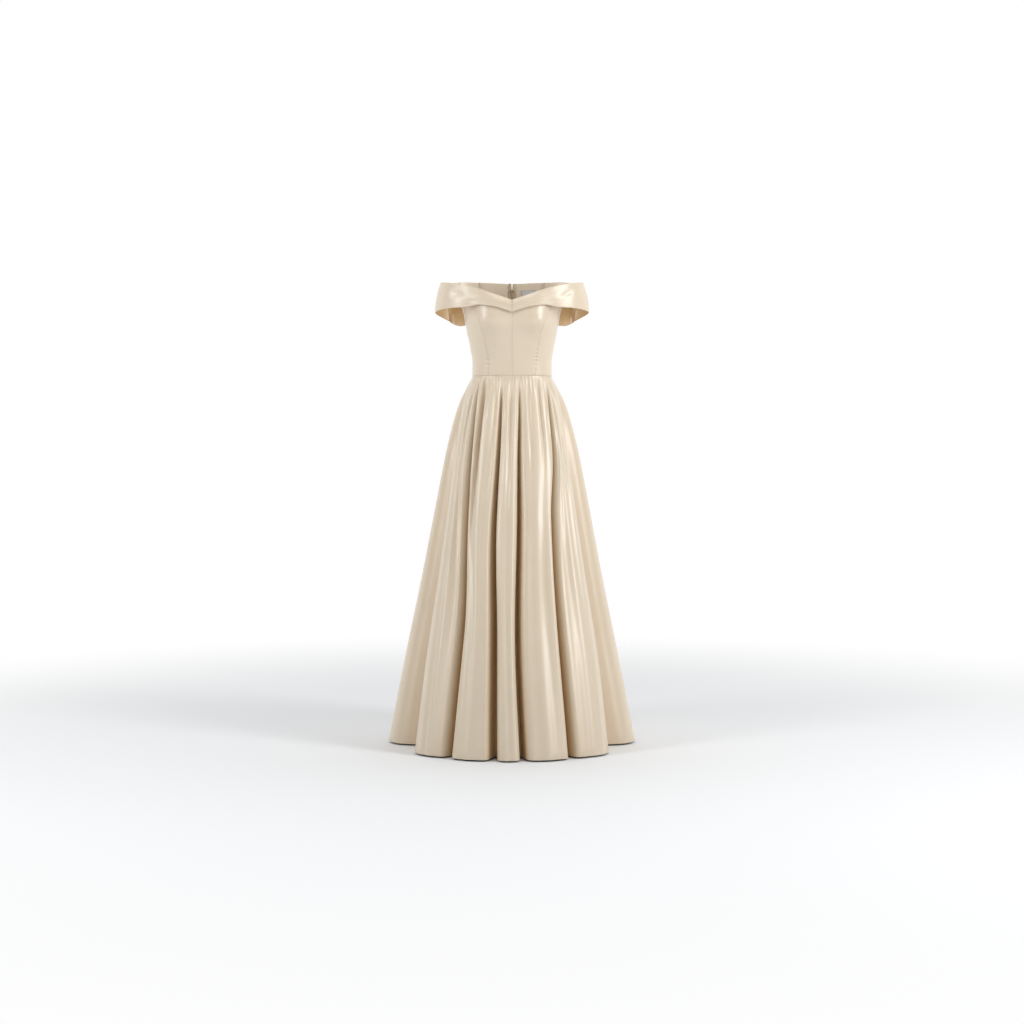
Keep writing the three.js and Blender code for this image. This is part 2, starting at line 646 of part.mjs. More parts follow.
// Hook and eye over the zip, bent from wire and sewn inside the top edge.
const WIRE = { radius: 0.65, sides: 5, bends: 11 };
function addWire(name, points) {
  const inside = TORSO.at(-1).back - CLOTH - SEAM_GAP - WIRE.radius - 0.3;
  const path = new THREE.CatmullRomCurve3(points.map(([x, z]) => new THREE.Vector3(x, inside, z)));
  const section = new THREE.Shape();
  section.absarc(0, 0, WIRE.radius, 0, 2 * Math.PI, false);
  const settings = { steps: WIRE.bends, curveSegments: WIRE.sides, bevelEnabled: false, extrudePath: path };
  addSolid(name, solidOf(new THREE.ExtrudeGeometry(section, settings)), BRASS);
}

function addHookAndEye() {
  addWire("hook", [[-9.5, 269.5], [-9.5, 281], [-7, 285.2], [-4.6, 282.5], [-4.4, 278]]);
  addWire("eye", [[5.4, 269.5], [5.4, 281], [8.4, 285.4], [11.4, 281], [11.4, 269.5]]);
}

// Blank woven label inside the back.
const LABEL = { from: 29, to: 77, bottom: 234, top: 265, thickness: 0.8, standoff: 0.5 };
function addLabel() {
  const reach = { u: 0.5, v: 0.5 };
  const backSurface = (x, height) => {
    const angle = angleOfSeam(-x, height, false);
    return pointAt(angle, torsoRadius(angle, height), height);
  };
  const surface = movedIn(backSurface, CLOTH + LABEL.standoff, reach);
  const options = { wall: LABEL.thickness, material: WOVEN, reach };
  const columns = steps(-LABEL.to, -LABEL.from, 4);
  clothPanel("label", surface, columns, steps(LABEL.bottom, LABEL.top, 3), options);
}

addBodice();
addCollar();
addSkirt();
addZipTapes();
addZipSlider();
addPullTab();
addHookAndEye();
addLabel();

export default gown;
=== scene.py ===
import math

import bmesh
import bpy
import numpy as np
from mathutils import Matrix, Vector


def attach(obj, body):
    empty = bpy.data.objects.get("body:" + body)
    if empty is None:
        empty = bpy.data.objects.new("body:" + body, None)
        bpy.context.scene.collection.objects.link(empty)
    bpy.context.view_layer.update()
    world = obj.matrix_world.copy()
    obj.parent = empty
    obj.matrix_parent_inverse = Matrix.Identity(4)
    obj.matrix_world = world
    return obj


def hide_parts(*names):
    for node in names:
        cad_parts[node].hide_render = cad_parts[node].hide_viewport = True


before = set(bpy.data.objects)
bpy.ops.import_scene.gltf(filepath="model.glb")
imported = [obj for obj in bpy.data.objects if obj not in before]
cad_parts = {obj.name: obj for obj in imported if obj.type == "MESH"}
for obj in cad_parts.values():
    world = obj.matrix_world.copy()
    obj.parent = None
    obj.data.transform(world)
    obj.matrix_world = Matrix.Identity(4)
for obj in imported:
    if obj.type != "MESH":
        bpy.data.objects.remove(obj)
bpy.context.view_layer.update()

# Bodice, centre front panels.
# Two panels of heavy satin, cut on the straight grain and sewn together down the centre front. The princess
# seams join them to the side panels and shape the cups. All seams are pressed open inside.
MM = 0.001
HANDS = ((1, "left"), (-1, "right"))


def table(names, *rows):
    """A table with named columns, one row for each section or fold."""
    return dict(zip(names.split(), np.array(rows, float).T))


def smooth_line(rows, along, value):
    """A smooth line through the rows of a table that never overshoots them."""
    x, y = rows[along], rows[value]
    rise = np.diff(y) / np.diff(x)
    before, after = rise[:-1], rise[1:]
    level = before * after <= 0
    inner = np.where(level, 0, 2 * before * after / np.where(level, 1, before + after))
    slope = np.concatenate([rise[:1], inner, rise[-1:]])

    def line(at):
        held = np.clip(at, x[0], x[-1])
        i = np.clip(np.searchsorted(x, held) - 1, 0, len(x) - 2)
        span = x[i + 1] - x[i]
        t = (held - x[i]) / span
        start = y[i] * (1 + 2 * t) * (1 - t) ** 2 + slope[i] * span * t * (1 - t) ** 2
        return start + y[i + 1] * t * t * (3 - 2 * t) + slope[i + 1] * span * t * t * (t - 1)

    return line


def between(a, b, t):
    return a + (b - a) * t


def section_radius(angle, side, front, back, square):
    """Radius of a closed section, part ellipse and part rectangle, in the direction of an angle."""
    across = np.abs(np.sin(np.radians(angle))) / side
    ahead = np.cos(np.radians(angle))
    along = np.abs(ahead) / np.where(ahead > 0, front, back)
    return (across**square + along**square) ** (-1 / square)


def at_angle(angle, radius, height):
    """Points round the body: 0 degrees is the centre front, 90 the wearer's left, 180 the centre back."""
    turn = np.radians(angle)
    return np.stack(np.broadcast_arrays(radius * np.sin(turn), -radius * np.cos(turn), height), -1)


TORSO = table(
    "height side front back square",
    (0, 118.5, 92, 84, 2.3),
    (45, 118.5, 96, 84, 2.35),
    (75, 123, 102, 86, 2.4),
    (100, 127.5, 108, 89, 2.45),
    (123, 133, 114, 91, 2.5),
    (150, 137.5, 119, 94, 2.5),
    (175, 141, 121, 97, 2.45),
    (204, 150, 120, 99, 2.35),
    (235, 168, 118, 100, 2.25),
    (262, 193, 117, 100, 2.15),
    (287, 209, 116, 100, 2.1),
)
# A cup: its angle and width in degrees, its height, its reach up and down and its fullness in mm.
CUP = {"angle": 31, "wide": 19, "height": 160, "above": 52, "below": 40, "full": 13}
HALVINGS = 34
torso_form = [smooth_line(TORSO, "height", name) for name in ("side", "front", "back", "square")]


def torso_radius(angle, height):
    """The torso form with the fullness of the cups."""
    turned = (np.abs(angle) - CUP["angle"]) / CUP["wide"]
    raised = (height - CUP["height"]) / np.where(height > CUP["height"], CUP["above"], CUP["below"])
    form = [line(height) for line in torso_form]
    return section_radius(angle, *form) + CUP["full"] * np.exp(-(turned**2) - raised**2)


def seam_angle(apart, height, front):
    """The angle at which the torso form is a given distance from the centre line."""
    low = np.zeros_like(height) if front else np.full_like(height, 180)
    high = np.full_like(height, 90)
    for _ in range(HALVINGS):
        middle = (low + high) / 2
        inside = torso_radius(middle, height) * np.sin(np.radians(middle)) < apart
        low, high = np.where(inside, middle, low), np.where(inside, high, middle)
    return low


# Distance of the princess seams from the centre line, and the height of the armhole and of the back neck.
# Position round half the bodice is counted in panels: 0 centre front, 1 front princess seam, 2 side seam,
# 3 back princess seam, 4 centre back.
SHOULDER, UNDER_COLLAR = 262.0, 4
ARM_FRONT, ARM_BACK = 1.27, 2.55
FRONT_PRINCESS = table(
    "height apart", (0, 69), (36, 70), (80, 75), (113, 83), (147, 93), (177, 103), (205, 117), (265, 126)
)
BACK_PRINCESS = table("height apart", (0, 48), (80, 55), (150, 74), (220, 90), (287, 98))
ARMHOLE = table(
    "across height",
    (ARM_FRONT, SHOULDER),
    (1.45, 235),
    (1.7, 203),
    (1.86, 174),
    (2, 151),
    (2.1, 171),
    (2.22, 203),
    (2.4, 243),
    (ARM_BACK, 286),
)
BACK_NECK = table("across height", (ARM_BACK, 286), (3, 286), (4, 283))
COLLAR_TOP = table(
    "angle height", (0, 219), (26, 239), (48, 258), (60, 267), (72, 275), (90, 281), (115, 283)
)
front_princess = smooth_line(FRONT_PRINCESS, "height", "apart")
back_princess = smooth_line(BACK_PRINCESS, "height", "apart")
armhole = smooth_line(ARMHOLE, "across", "height")
back_neck = smooth_line(BACK_NECK, "across", "height")
collar_top = smooth_line(COLLAR_TOP, "angle", "height")


def bodice_angle(across, height):
    """The angle of a place counted in panels."""
    across, height = np.broadcast_arrays(across, height)
    seams = [
        np.zeros(height.shape),
        seam_angle(front_princess(height), height, True),
        np.full(height.shape, 90.0),
        seam_angle(back_princess(height), height, False),
        np.full(height.shape, 180.0),
    ]
    panel = np.clip(np.floor(across), 0, 3).astype(int)
    here = np.choose(panel, seams[:-1])
    ahead = np.choose(panel, seams[1:])
    return between(here, ahead, across - panel)


def bodice_top(across):
    """Height of the top edge, which lies under the collar in front."""
    across = np.asarray(across, float)
    shoulder = np.full_like(across, SHOULDER)
    neckline = collar_top(np.abs(bodice_angle(across, shoulder))) - UNDER_COLLAR
    sides = np.where(across >= ARM_BACK, back_neck(across), armhole(across))
    return np.where(across >= ARM_FRONT, sides, neckline)


def bodice_surface(across, share):
    """A point of the bodice, by its place round the body and its share of the height of the top edge."""
    height = share * bodice_top(across)
    angle = bodice_angle(across, height)
    return at_angle(angle, torso_radius(angle, height), height)


# The edges of a panel: what lies beyond the last row or column, as steps back, over the edge and in towards
# the body. A seam allowance is turned straight in. A finished edge is rolled over and lies flat inside.
ALLOWANCE = [(0, 0, 2.6), (0, 0, 1.3)]
TURNED_UNDER = 1.9
FACING_STEP = 3.0
# What a seam does to the cloth beside it, in mm: it is sunk in a groove, the allowance inside stands out to a
# faint step, the two edges part a little, and the cloth is pressed flat.
SEAM_GAP = 0.06
SEAM = {"sunk": 0.4, "groove": 1.3, "ridge": 0.06, "allowance": 9, "step": 1.6, "parts": 5, "pressed": 3}


def round_fold(radius, turns):
    """The steps of an edge that turns over in part of a circle."""
    return [(0, radius * math.sin(turn), radius * (1 - math.cos(turn))) for turn in turns]


def rolled_over(run, radius=1.0, unit=1.0):
    """Run and radius are in mm, and unit is what one mm is in the surface's own parameter."""
    inside = [(back * unit, 0, 2 * radius) for back in np.arange(run, 0, -FACING_STEP)]
    return inside + round_fold(radius, np.linspace(math.pi, 0, 6)[:-1])


def close_to_ends(first, last, count, ends=(0, 0.006, 0.012, 0.02, 0.032, 0.052)):
    """Places from first to last, close together at both ends, where the cloth rolls into a seam."""
    ends = list(ends)
    middle = list(np.linspace(ends[-1], 1 - ends[-1], count))[1:-1]
    shares = ends + middle + [1 - share for share in reversed(ends)]
    return [between(first, last, share) for share in shares]


def walked(points, axis):
    """Distance in mm along the rows or columns of a grid of points."""
    stride = np.linalg.norm(np.diff(points, axis=axis), axis=-1)
    start = np.zeros_like(np.take(stride, [0], axis=axis))
    return np.concatenate([start, np.cumsum(stride, axis=axis)], axis=axis)


def linked(name, data):
    """A new object of the scene, at the origin."""
    made = bpy.data.objects.new(name, data)
    bpy.context.scene.collection.objects.link(made)
    return made


def cloth_piece(name, points, flat, shading, mirrored):
    """A grid of points in mm as a piece of cloth. Flat is each point's place on the flat cloth in metres, and
    shading holds what the material reads there."""
    piece = bmesh.new()
    bmesh.ops.create_grid(piece, x_segments=points.shape[1] - 1, y_segments=points.shape[0] - 1, size=1)
    mesh = bpy.data.meshes.new(name)
    piece.to_mesh(mesh)
    piece.free()
    side = np.array([-1 if mirrored else 1, 1, 1])
    mesh.vertices.foreach_set("co", (points * side * MM).astype(np.float32).ravel())
    corner = np.zeros(len(mesh.loops), np.int32)
    mesh.loops.foreach_get("vertex_index", corner)
    mesh.uv_layers.new(name="grain").data.foreach_set("uv", flat[corner].astype(np.float32).ravel())
    for named, values in shading.items():
        stored = mesh.attributes.new(named, "FLOAT", "POINT").data
        stored.foreach_set("value", values.astype(np.float32).ravel())
    if mirrored:
        mesh.flip_normals()
    mesh.shade_smooth()
    mesh.update()
    return linked(name, mesh)


def sewn_panel(name, surface, columns, rows, edges, relief, **choices):
    """A panel of cloth: a grid of points placed on a surface, with its seams drawn in. Relief is how far a
    point stands out in mm. The choices say how deep in a fold it is and how shaded its turned-in side is, for
    the shade painted into its colour, where a seam parts, and how the ends of a folded band are drawn
    together."""
    deep, gaps, pinch = choices.get("deep"), choices.get("gaps", {}), choices.get("pinch")
    shade, reach = choices.get("shade", 0), choices.get("reach", (0.004, 0.004))
    edges = {side: edges.get(side, []) for side in ("start", "end", "bottom", "top")}
    start, end, bottom, top = (edges[side] for side in ("start", "end", "bottom", "top"))
    across = [(columns[0], inward) for _, _, inward in start]
    across += [(column, 0) for column in columns]
    across += [(columns[-1], inward) for _, _, inward in reversed(end)]
    along_up = [(rows[0] + back, -over, inward) for back, over, inward in bottom]
    along_up += [(row, 0, 0) for row in rows]
    along_up += [(rows[-1] - back, over, inward) for back, over, inward in reversed(top)]
    u, turned_in = (np.array(values, float)[None, :] for values in zip(*across))
    v, over, inward = (np.array(values, float)[:, None] for values in zip(*along_up))

    points = surface(u, v)
    along = surface(u + reach[0], v) - surface(u - reach[0], v)
    up = surface(u, v + reach[1]) - surface(u, v - reach[1])
    along /= np.linalg.norm(along, axis=-1, keepdims=True)
    up /= np.linalg.norm(up, axis=-1, keepdims=True)
    out = np.cross(along, up)
    out /= np.linalg.norm(out, axis=-1, keepdims=True)

    from_start, from_bottom = walked(points, 1), walked(points, 0)
    from_end = from_start[:, -1:] - from_start
    from_top = from_bottom[-1:] - from_bottom
    sewn = {
        "start": (from_start, along, 1),
        "end": (from_end, along, -1),
        "bottom": (from_bottom, up, 1),
        "top": (from_top, up, -1),
    }
    raised = relief(points, u, v)
    # Hollow is the painted shade: how deep in a fold a point lies, and the shade given for its turned-in side.
    hollow = np.clip(deep(points, u, v), 0, 1) if deep else np.zeros(points.shape[:2])
    hollow = np.maximum(hollow, shade * (inward > TURNED_UNDER))
    pressed = np.zeros(points.shape[:2])
    moved = np.zeros_like(points)
    for side, (away, direction, sign) in sewn.items():
        if edges[side] != ALLOWANCE:
            continue
        raised = raised - SEAM["sunk"] * np.exp(-((away / SEAM["groove"]) ** 2))
        raised = raised + SEAM["ridge"] * (1 - np.tanh((away - SEAM["allowance"]) / SEAM["step"]))
        pressed = np.maximum(pressed, np.exp(-away / SEAM["pressed"]))
        gap = gaps.get(side, SEAM_GAP)
        opening = gap(points) if callable(gap) else gap
        moved += direction * (sign * opening * np.exp(-((away / SEAM["parts"]) ** 2)))[..., None]
    if pinch:
        away = np.minimum(from_start, from_end) / pinch
        full = np.sqrt(1 - np.clip(1 - away, 0, 1) ** 2)
        inward = between(inward.max() / 2, inward, full)
        over = over * full
        pressed = np.exp(-((away / 2) ** 2))
    points = points + moved + out * (raised - turned_in - inward)[..., None] + up * over[..., None]
    flat = np.stack([(from_start - from_start[:, -1:] / 2).ravel(), from_bottom.ravel()], -1) * MM
    shading = {"pressed": pressed, "hollow": hollow}
    return cloth_piece(name, points, flat, shading, choices.get("mirrored", False))


class Wire:
    """One output of a node. Arithmetic on wires adds Math nodes, and node() adds any other kind."""

    def __init__(self, tree, socket=None):
        self.tree, self.socket = tree, socket

    def node(self, kind, settings, sockets, output=0):
        made = self.tree.nodes.new("ShaderNode" + kind)
        for name, value in settings.items():
            setattr(made, name, value)
        for name, value in sockets.items():
            if isinstance(value, Wire):
                self.tree.links.new(value.socket, made.inputs[name])
            else:
                made.inputs[name].default_value = value
        return Wire(self.tree, made.outputs[output]) if len(made.outputs) else None

    def math(self, operation, *values, clamp=False):
        return self.node("Math", {"operation": operation, "use_clamp": clamp}, dict(enumerate(values)))

    def __add__(self, other):
        return self.math("ADD", self, other)

    def __sub__(self, other):
        return self.math("SUBTRACT", self, other)

    def __rsub__(self, other):
        return self.math("SUBTRACT", other, self)

    def __mul__(self, other):
        return self.math("MULTIPLY", self, other)

    def __gt__(self, other):
        return self.math("GREATER_THAN", self, other)

    __radd__, __rmul__ = __add__, __mul__

    def mixed(self, first, second):
        """First colour where this wire is 0 and second where it is 1."""
        return self.node("Mix", {"data_type": "RGBA"}, {0: self, 6: first, 7: second}, output=2)

    def noise(self, vector, size, detail=2.0):
        """Noise from 0 to 1. Size is the size of a spot in mm along each direction of the cloth."""
        scale = [1000.0 / max(length, 0.001) for length in size]
        stretched = self.node("Mapping", {}, {"Vector": vector, "Scale": scale})
        return self.node("TexNoise", {}, {"Vector": stretched, "Scale": 1.0, "Detail": detail})

    def bump(self, strength, distance):
        """The normal of a surface with this relief. Distance is its height in metres."""
        return self.node("Bump", {}, {"Strength": strength, "Distance": distance, "Height": self})


def new_material(name):
    material = bpy.data.materials.new(name)
    material.use_nodes = True
    material.node_tree.nodes.clear()
    return material, Wire(material.node_tree)


def surfaced(tree, **sockets):
    """The material's surface, with what each socket of the shader takes."""
    named = {name.replace("_", " "): value for name, value in sockets.items()}
    shader = tree.node("BsdfPrincipled", {}, named)
    tree.node("OutputMaterial", {}, {"Surface": shader})


def satin(name, light, dark, painted_shade_colour, roughness, sheen, floats):
    """Satin: long floats of warp thread along the grain and faint slubs. It is darker where it is pressed at
    the seams, and a painted shade makes it warmer and darker deep in the folds, where light only comes off
    other cloth."""
    material, tree = new_material(name)
    grain = tree.node("UVMap", {"uv_map": "grain"}, {})
    pressed = tree.node("Attribute", {"attribute_name": "pressed"}, {}, output="Fac")
    warp = tree.noise(grain, (0.5, 14, 1), detail=3.0)
    weft = tree.noise(grain, (5, 0.45, 1), detail=1.0)
    slub = tree.noise(grain, (2.5, 120, 1), detail=2.0)
    cloud = tree.noise(grain, (70, 110, 1), detail=2.0)
    tone = cloud * 0.55 + slub * 0.3 + warp * 0.15 + pressed * 0.35 - 0.12
    # Painted shade: where the hollow attribute is high, deep in the folds and on turned-in sides, the colour
    # is mixed towards a warm dark shade.
    hollow = tree.node("Attribute", {"attribute_name": "hollow"}, {}, output="Fac")
    cloth = tree.math("ADD", tone, 0.0, clamp=True).mixed(light, dark)
    colour = (hollow * 0.9).mixed(cloth, painted_shade_colour)
    height = warp * 0.75 + weft * 0.25 + slub * 0.8
    surfaced(
        tree,
        Base_Color=colour,
        Roughness=cloud * 0.08 + warp * 0.05 + roughness - 0.065,
        Normal=height.bump(floats, 0.00004),
        Sheen_Weight=sheen,
        Sheen_Roughness=0.35,
        Sheen_Tint=(1.0, 0.95, 0.88, 1),
        Specular_IOR_Level=0.95,
    )
    return material


SATIN = satin(
    "satin",
    light=(0.72, 0.62, 0.485, 1),
    dark=(0.62, 0.515, 0.38, 1),
    painted_shade_colour=(0.55, 0.355, 0.16, 1),
    roughness=0.32,
    sheen=0.08,
    floats=0.35,
)
# The reverse side: dull, and painted darker than the face with the shade that falls inside the dress.
REVERSE = satin(
    "satin_reverse",
    light=(0.52, 0.40, 0.28, 1),
    dark=(0.45, 0.335, 0.23, 1),
    painted_shade_colour=(0.38, 0.26, 0.16, 1),
    roughness=0.6,
    sheen=0.05,
    floats=0.6,
)


def made_of_satin(piece, node, wall=0.8):
    """Gives a panel its thickness, its dull inner side and its place on the dress."""
    if wall:
        thick = piece.modifiers.new("cloth", "SOLIDIFY")
        thick.thickness, thick.offset = wall * MM, -1
        thick.material_offset, thick.use_even_offset = 1, False
    piece.data.materials.append(SATIN)
    piece.data.materials.append(REVERSE)
    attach(piece, "dress")
    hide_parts(node)


# Short puckers where a curved seam is sewn to a straight one: their height, length and pitch over 2 pi, and
# where they are deepest and how far up and down the seam they run. In mm.
PUCKER = {"high": 0.75, "long": 8, "pitch": 1.9, "middle": 55, "spread": 40}


def waist_pucker(where, height, phase):
    """The puckers at a distance from their seam. Both their pitch and their length vary along it."""
    along = height / PUCKER["pitch"] + 1.3 * np.sin(height / 13 + phase) + phase
    length = PUCKER["long"] * (1 + 0.5 * np.sin(height / 15 + 2 * phase))
    stretch = np.exp(-(((height - PUCKER["middle"]) / PUCKER["spread"]) ** 2))
    stretch = stretch * (0.65 + 0.35 * np.sin(height / 21 + 3 * phase))
    return PUCKER["high"] * stretch * np.sin(along + where / 9) * np.exp(-((where / length) ** 2))


# Soft drag lines of the fitted bodice: side (1 the wearer's left, -1 the right), place round the body and
# height of the hollow, its length, height, depth and slope.
DRAG_LINES = table(
    "side across height long tall depth slope",
    (1, 0.55, 118, 42, 9, 0.8, 0.12),
    (1, 0.80, 96, 36, 7, 0.6, -0.2),
    (1, 1.25, 78, 40, 8, 0.7, -0.25),
    (1, 1.60, 124, 34, 9, 0.9, 0.5),
    (1, 1.75, 44, 38, 7, 0.7, 0.1),
    (1, 2.45, 60, 46, 9, 0.8, -0.15),
    (1, 3.40, 40, 44, 8, 0.7, 0.1),
    (1, 2.70, 190, 52, 12, 0.9, 0.3),
    (-1, 0.45, 112, 40, 9, 0.7, -0.1),
    (-1, 0.85, 84, 34, 7, 0.6, 0.15),
    (-1, 1.30, 96, 42, 8, 0.8, 0.22),
    (-1, 1.65, 120, 36, 9, 0.8, -0.5),
    (-1, 1.70, 34, 36, 7, 0.6, 0.0),
    (-1, 2.50, 72, 44, 9, 0.8, 0.2),
    (-1, 3.35, 52, 46, 8, 0.7, -0.12),
    (-1, 2.65, 182, 50, 12, 0.9, -0.3),
)


# Between the cups and the waist the front lies a little closer to the body, where light from above is weaker.
UNDER_BUST = {"across": 0.75, "reach": 0.9, "height": 124, "tall": 24, "depth": 2.6}
PANEL_WIDTH = 75


def with_hollows(raised, rows, side, across, upward):
    """A relief with the soft hollows of one side. Across and upward give the way in mm from a row's place."""
    for i in np.flatnonzero(rows["side"] == side):
        row = {name: column[i] for name, column in rows.items()}
        away = across(row)
        rise = upward(row) - row["slope"] * away
        hollow = np.exp(-((away / row["long"]) ** 2) - (rise / row["tall"]) ** 2)
        raised = raised - row["depth"] * hollow
    return raised


def bodice_relief(side, seams):
    """Puckers at the seams of one panel and its share of the drag lines."""

    def relief(points, u, v):
        height = points[..., 2]
        aside = (u - UNDER_BUST["across"]) / UNDER_BUST["reach"]
        below = (height - UNDER_BUST["height"]) / UNDER_BUST["tall"]
        raised = -UNDER_BUST["depth"] * np.exp(-(aside**4) - below**2)
        for seam in seams:
            line = bodice_surface(np.full_like(u, seam), v)
            where = np.linalg.norm(points - line, axis=-1)
            raised += waist_pucker(where, height, 0.9 * seam + side)
        return with_hollows(
            raised,
            DRAG_LINES,
            side,
            lambda row: (u - row["across"]) * PANEL_WIDTH,
            lambda row: height - row["height"],
        )

    return relief


BODICE_ROWS = list(np.linspace(0, 0.02, 5))[:-1] + list(np.linspace(0.02, 1, 120))


def bodice_pair(name, first, columns, top, flat, area, **choices):
    """The left panel from one seam to the next, counted from the centre front, and its mirror image."""
    puckered = [seam for seam in (first, first + 1) if 0 < seam < 4]
    for side, hand in HANDS:
        panel = sewn_panel(
            name + "_" + hand,
            bodice_surface,
            close_to_ends(first, first + 1, columns),
            BODICE_ROWS,
            {"start": ALLOWANCE, "end": ALLOWANCE, "bottom": ALLOWANCE, "top": top},
            bodice_relief(side, puckered),
            mirrored=side < 0,
            **choices,
        )
        made_of_satin(panel, "bodice_" + name + "_" + hand)


NECK_EDGE = rolled_over(12, unit=1 / 260)
bodice_pair("front_centre", 0, 34, NECK_EDGE, (0.148, 0.262), 0.0256)

# Bodice, side front panels.
# Each runs from the princess seam over the outside of the cup to the side seam. Its upper edge is the front
# of the armhole, turned in.
bodice_pair("front_side", 1, 46, NECK_EDGE, (0.150, 0.264), 0.0270)

# Bodice, side back panels.
# Each runs from the side seam to the back princess seam. Its upper edge rises along the back of the armhole,
# where the sleeve is sewn on, to the straight back neckline.
BACK_FACING = rolled_over(60, unit=1 / 285)
bodice_pair("back_side", 2, 40, BACK_FACING, (0.150, 0.350), 0.0380)

# Bodice, centre back panels.
# They meet at the concealed zip, where their folded edges cover the teeth. At the top they part for the
# slider.
PARTING = {"from": 235, "over": 48, "width": 2.2}


def zip_opening(points):
    """Half the gap between the two edges in mm, which grows towards the top."""
    share = np.clip((points[..., 2] - PARTING["from"]) / PARTING["over"], 0, 1)
    return between(SEAM_GAP, PARTING["width"], share)


bodice_pair("back_centre", 3, 34, BACK_FACING, (0.102, 0.345), 0.0285, gaps={"end": zip_opening})

# Skirt, front panel and two back panels.
# Full lengths of satin are gathered into the waist seam and stand out below it in deep rounded folds. The
# hem is turned up 25 mm inside. The centre back seam holds the lower end of the zip.
SKIRT_LENGTH = 1092
SKIRT = table(
    "drop side front back square",
    (0, 118.5, 92, 84, 2.3),
    (12, 125, 95, 89, 2.3),
    (30, 135, 101, 98, 2.25),
    (69, 157, 114, 115, 2.2),
    (114, 174, 128, 132, 2.15),
    (204, 198, 153, 160, 2.1),
    (339, 226, 187, 194, 2.05),
    (609, 277, 245, 250, 2),
    (849, 324.5, 297, 301, 2),
    (SKIRT_LENGTH, 371.5, 350, 353, 2),
)
# The deep folds: their angles at six levels, their depth, and their width in mm before and after the middle.
LEVELS = {"waist": 0, "high": 90, "upper": 240, "middle": 420, "lower": 750, "hem": SKIRT_LENGTH}
VALLEYS = table(
    "waist high upper middle lower hem depth before after",
    (-83, -82, -78, -76, -73, -68, 88, 58, 58),
    (-57, -50, -44.6, -40, -32.4, -32, 58, 11, 5.5),
    (-19, -16.5, -15.5, -15.8, -11.9, -9.4, 54, 8, 10),
    (13, 11, 7.5, 5.9, 3.3, 5.1, 54, 5.5, 10),
    (61, 52.5, 46.4, 36.8, 32.2, 30.8, 56, 10, 5.5),
    (83, 80, 76, 75, 73.5, 68, 88, 58, 58),
    (106, 106, 107, 108, 108, 108, 50, 13, 7),
    (126, 126, 127, 128, 129, 129, 54, 6, 11),
    (147, 147, 148, 148, 149, 149, 46, 11, 9),
    (168, 168, 169, 170, 171, 171, 54, 11, 6),
    (193, 192, 191, 191, 190, 190, 48, 7, 12),
    (214, 213, 212, 212, 211, 211, 55, 10, 6),
    (235, 234, 233, 232, 232, 231, 46, 9, 11),
    (255, 254, 253, 253, 252, 252, 50, 7, 13),
)
VALLEY_GROWTH = table(
    "drop depth width",
    (0, 0, 0.28),
    (30, 0.07, 0.32),
    (100, 0.3, 0.42),
    (250, 0.56, 0.55),
    (450, 0.76, 0.7),
    (SKIRT_LENGTH, 1, 1),
)
# Gathers on the crests: the fold and the place in it, the drops between which they run, depth and width in mm.
GATHERS = table(
    "fold share start stop depth width",
    (0, 0.58, 0, 280, 6, 5),
    (0, 0.75, 300, 980, 7, 24),
    (1, 0.34, 0, 600, 22, 6),
    (1, 0.7, 0, 420, 6, 6),
    (2, 0.5, 0, 450, 8, 6),
    (3, 0.37, 0, 380, 6, 5),
    (3, 0.61, 0, 340, 8, 5),
    (3, 0.47, 440, 1080, 6, 25),
    (3, 0.76, 0, 300, 5, 5),
    (4, 0.4, 0, 300, 6, 5),
    (4, 0.28, 420, 1080, 5, 22),
    (5, 0.6, 0, 260, 4, 7),
    (6, 0.5, 0, 380, 7, 6),
    (7, 0.45, 0, 340, 6, 6),
    (8, 0.55, 0, 420, 7, 6),
    (10, 0.5, 0, 360, 6, 6),
    (11, 0.45, 0, 400, 7, 6),
    (12, 0.55, 0, 340, 6, 6),
    (13, 0.4, 0, 260, 4, 7),
)
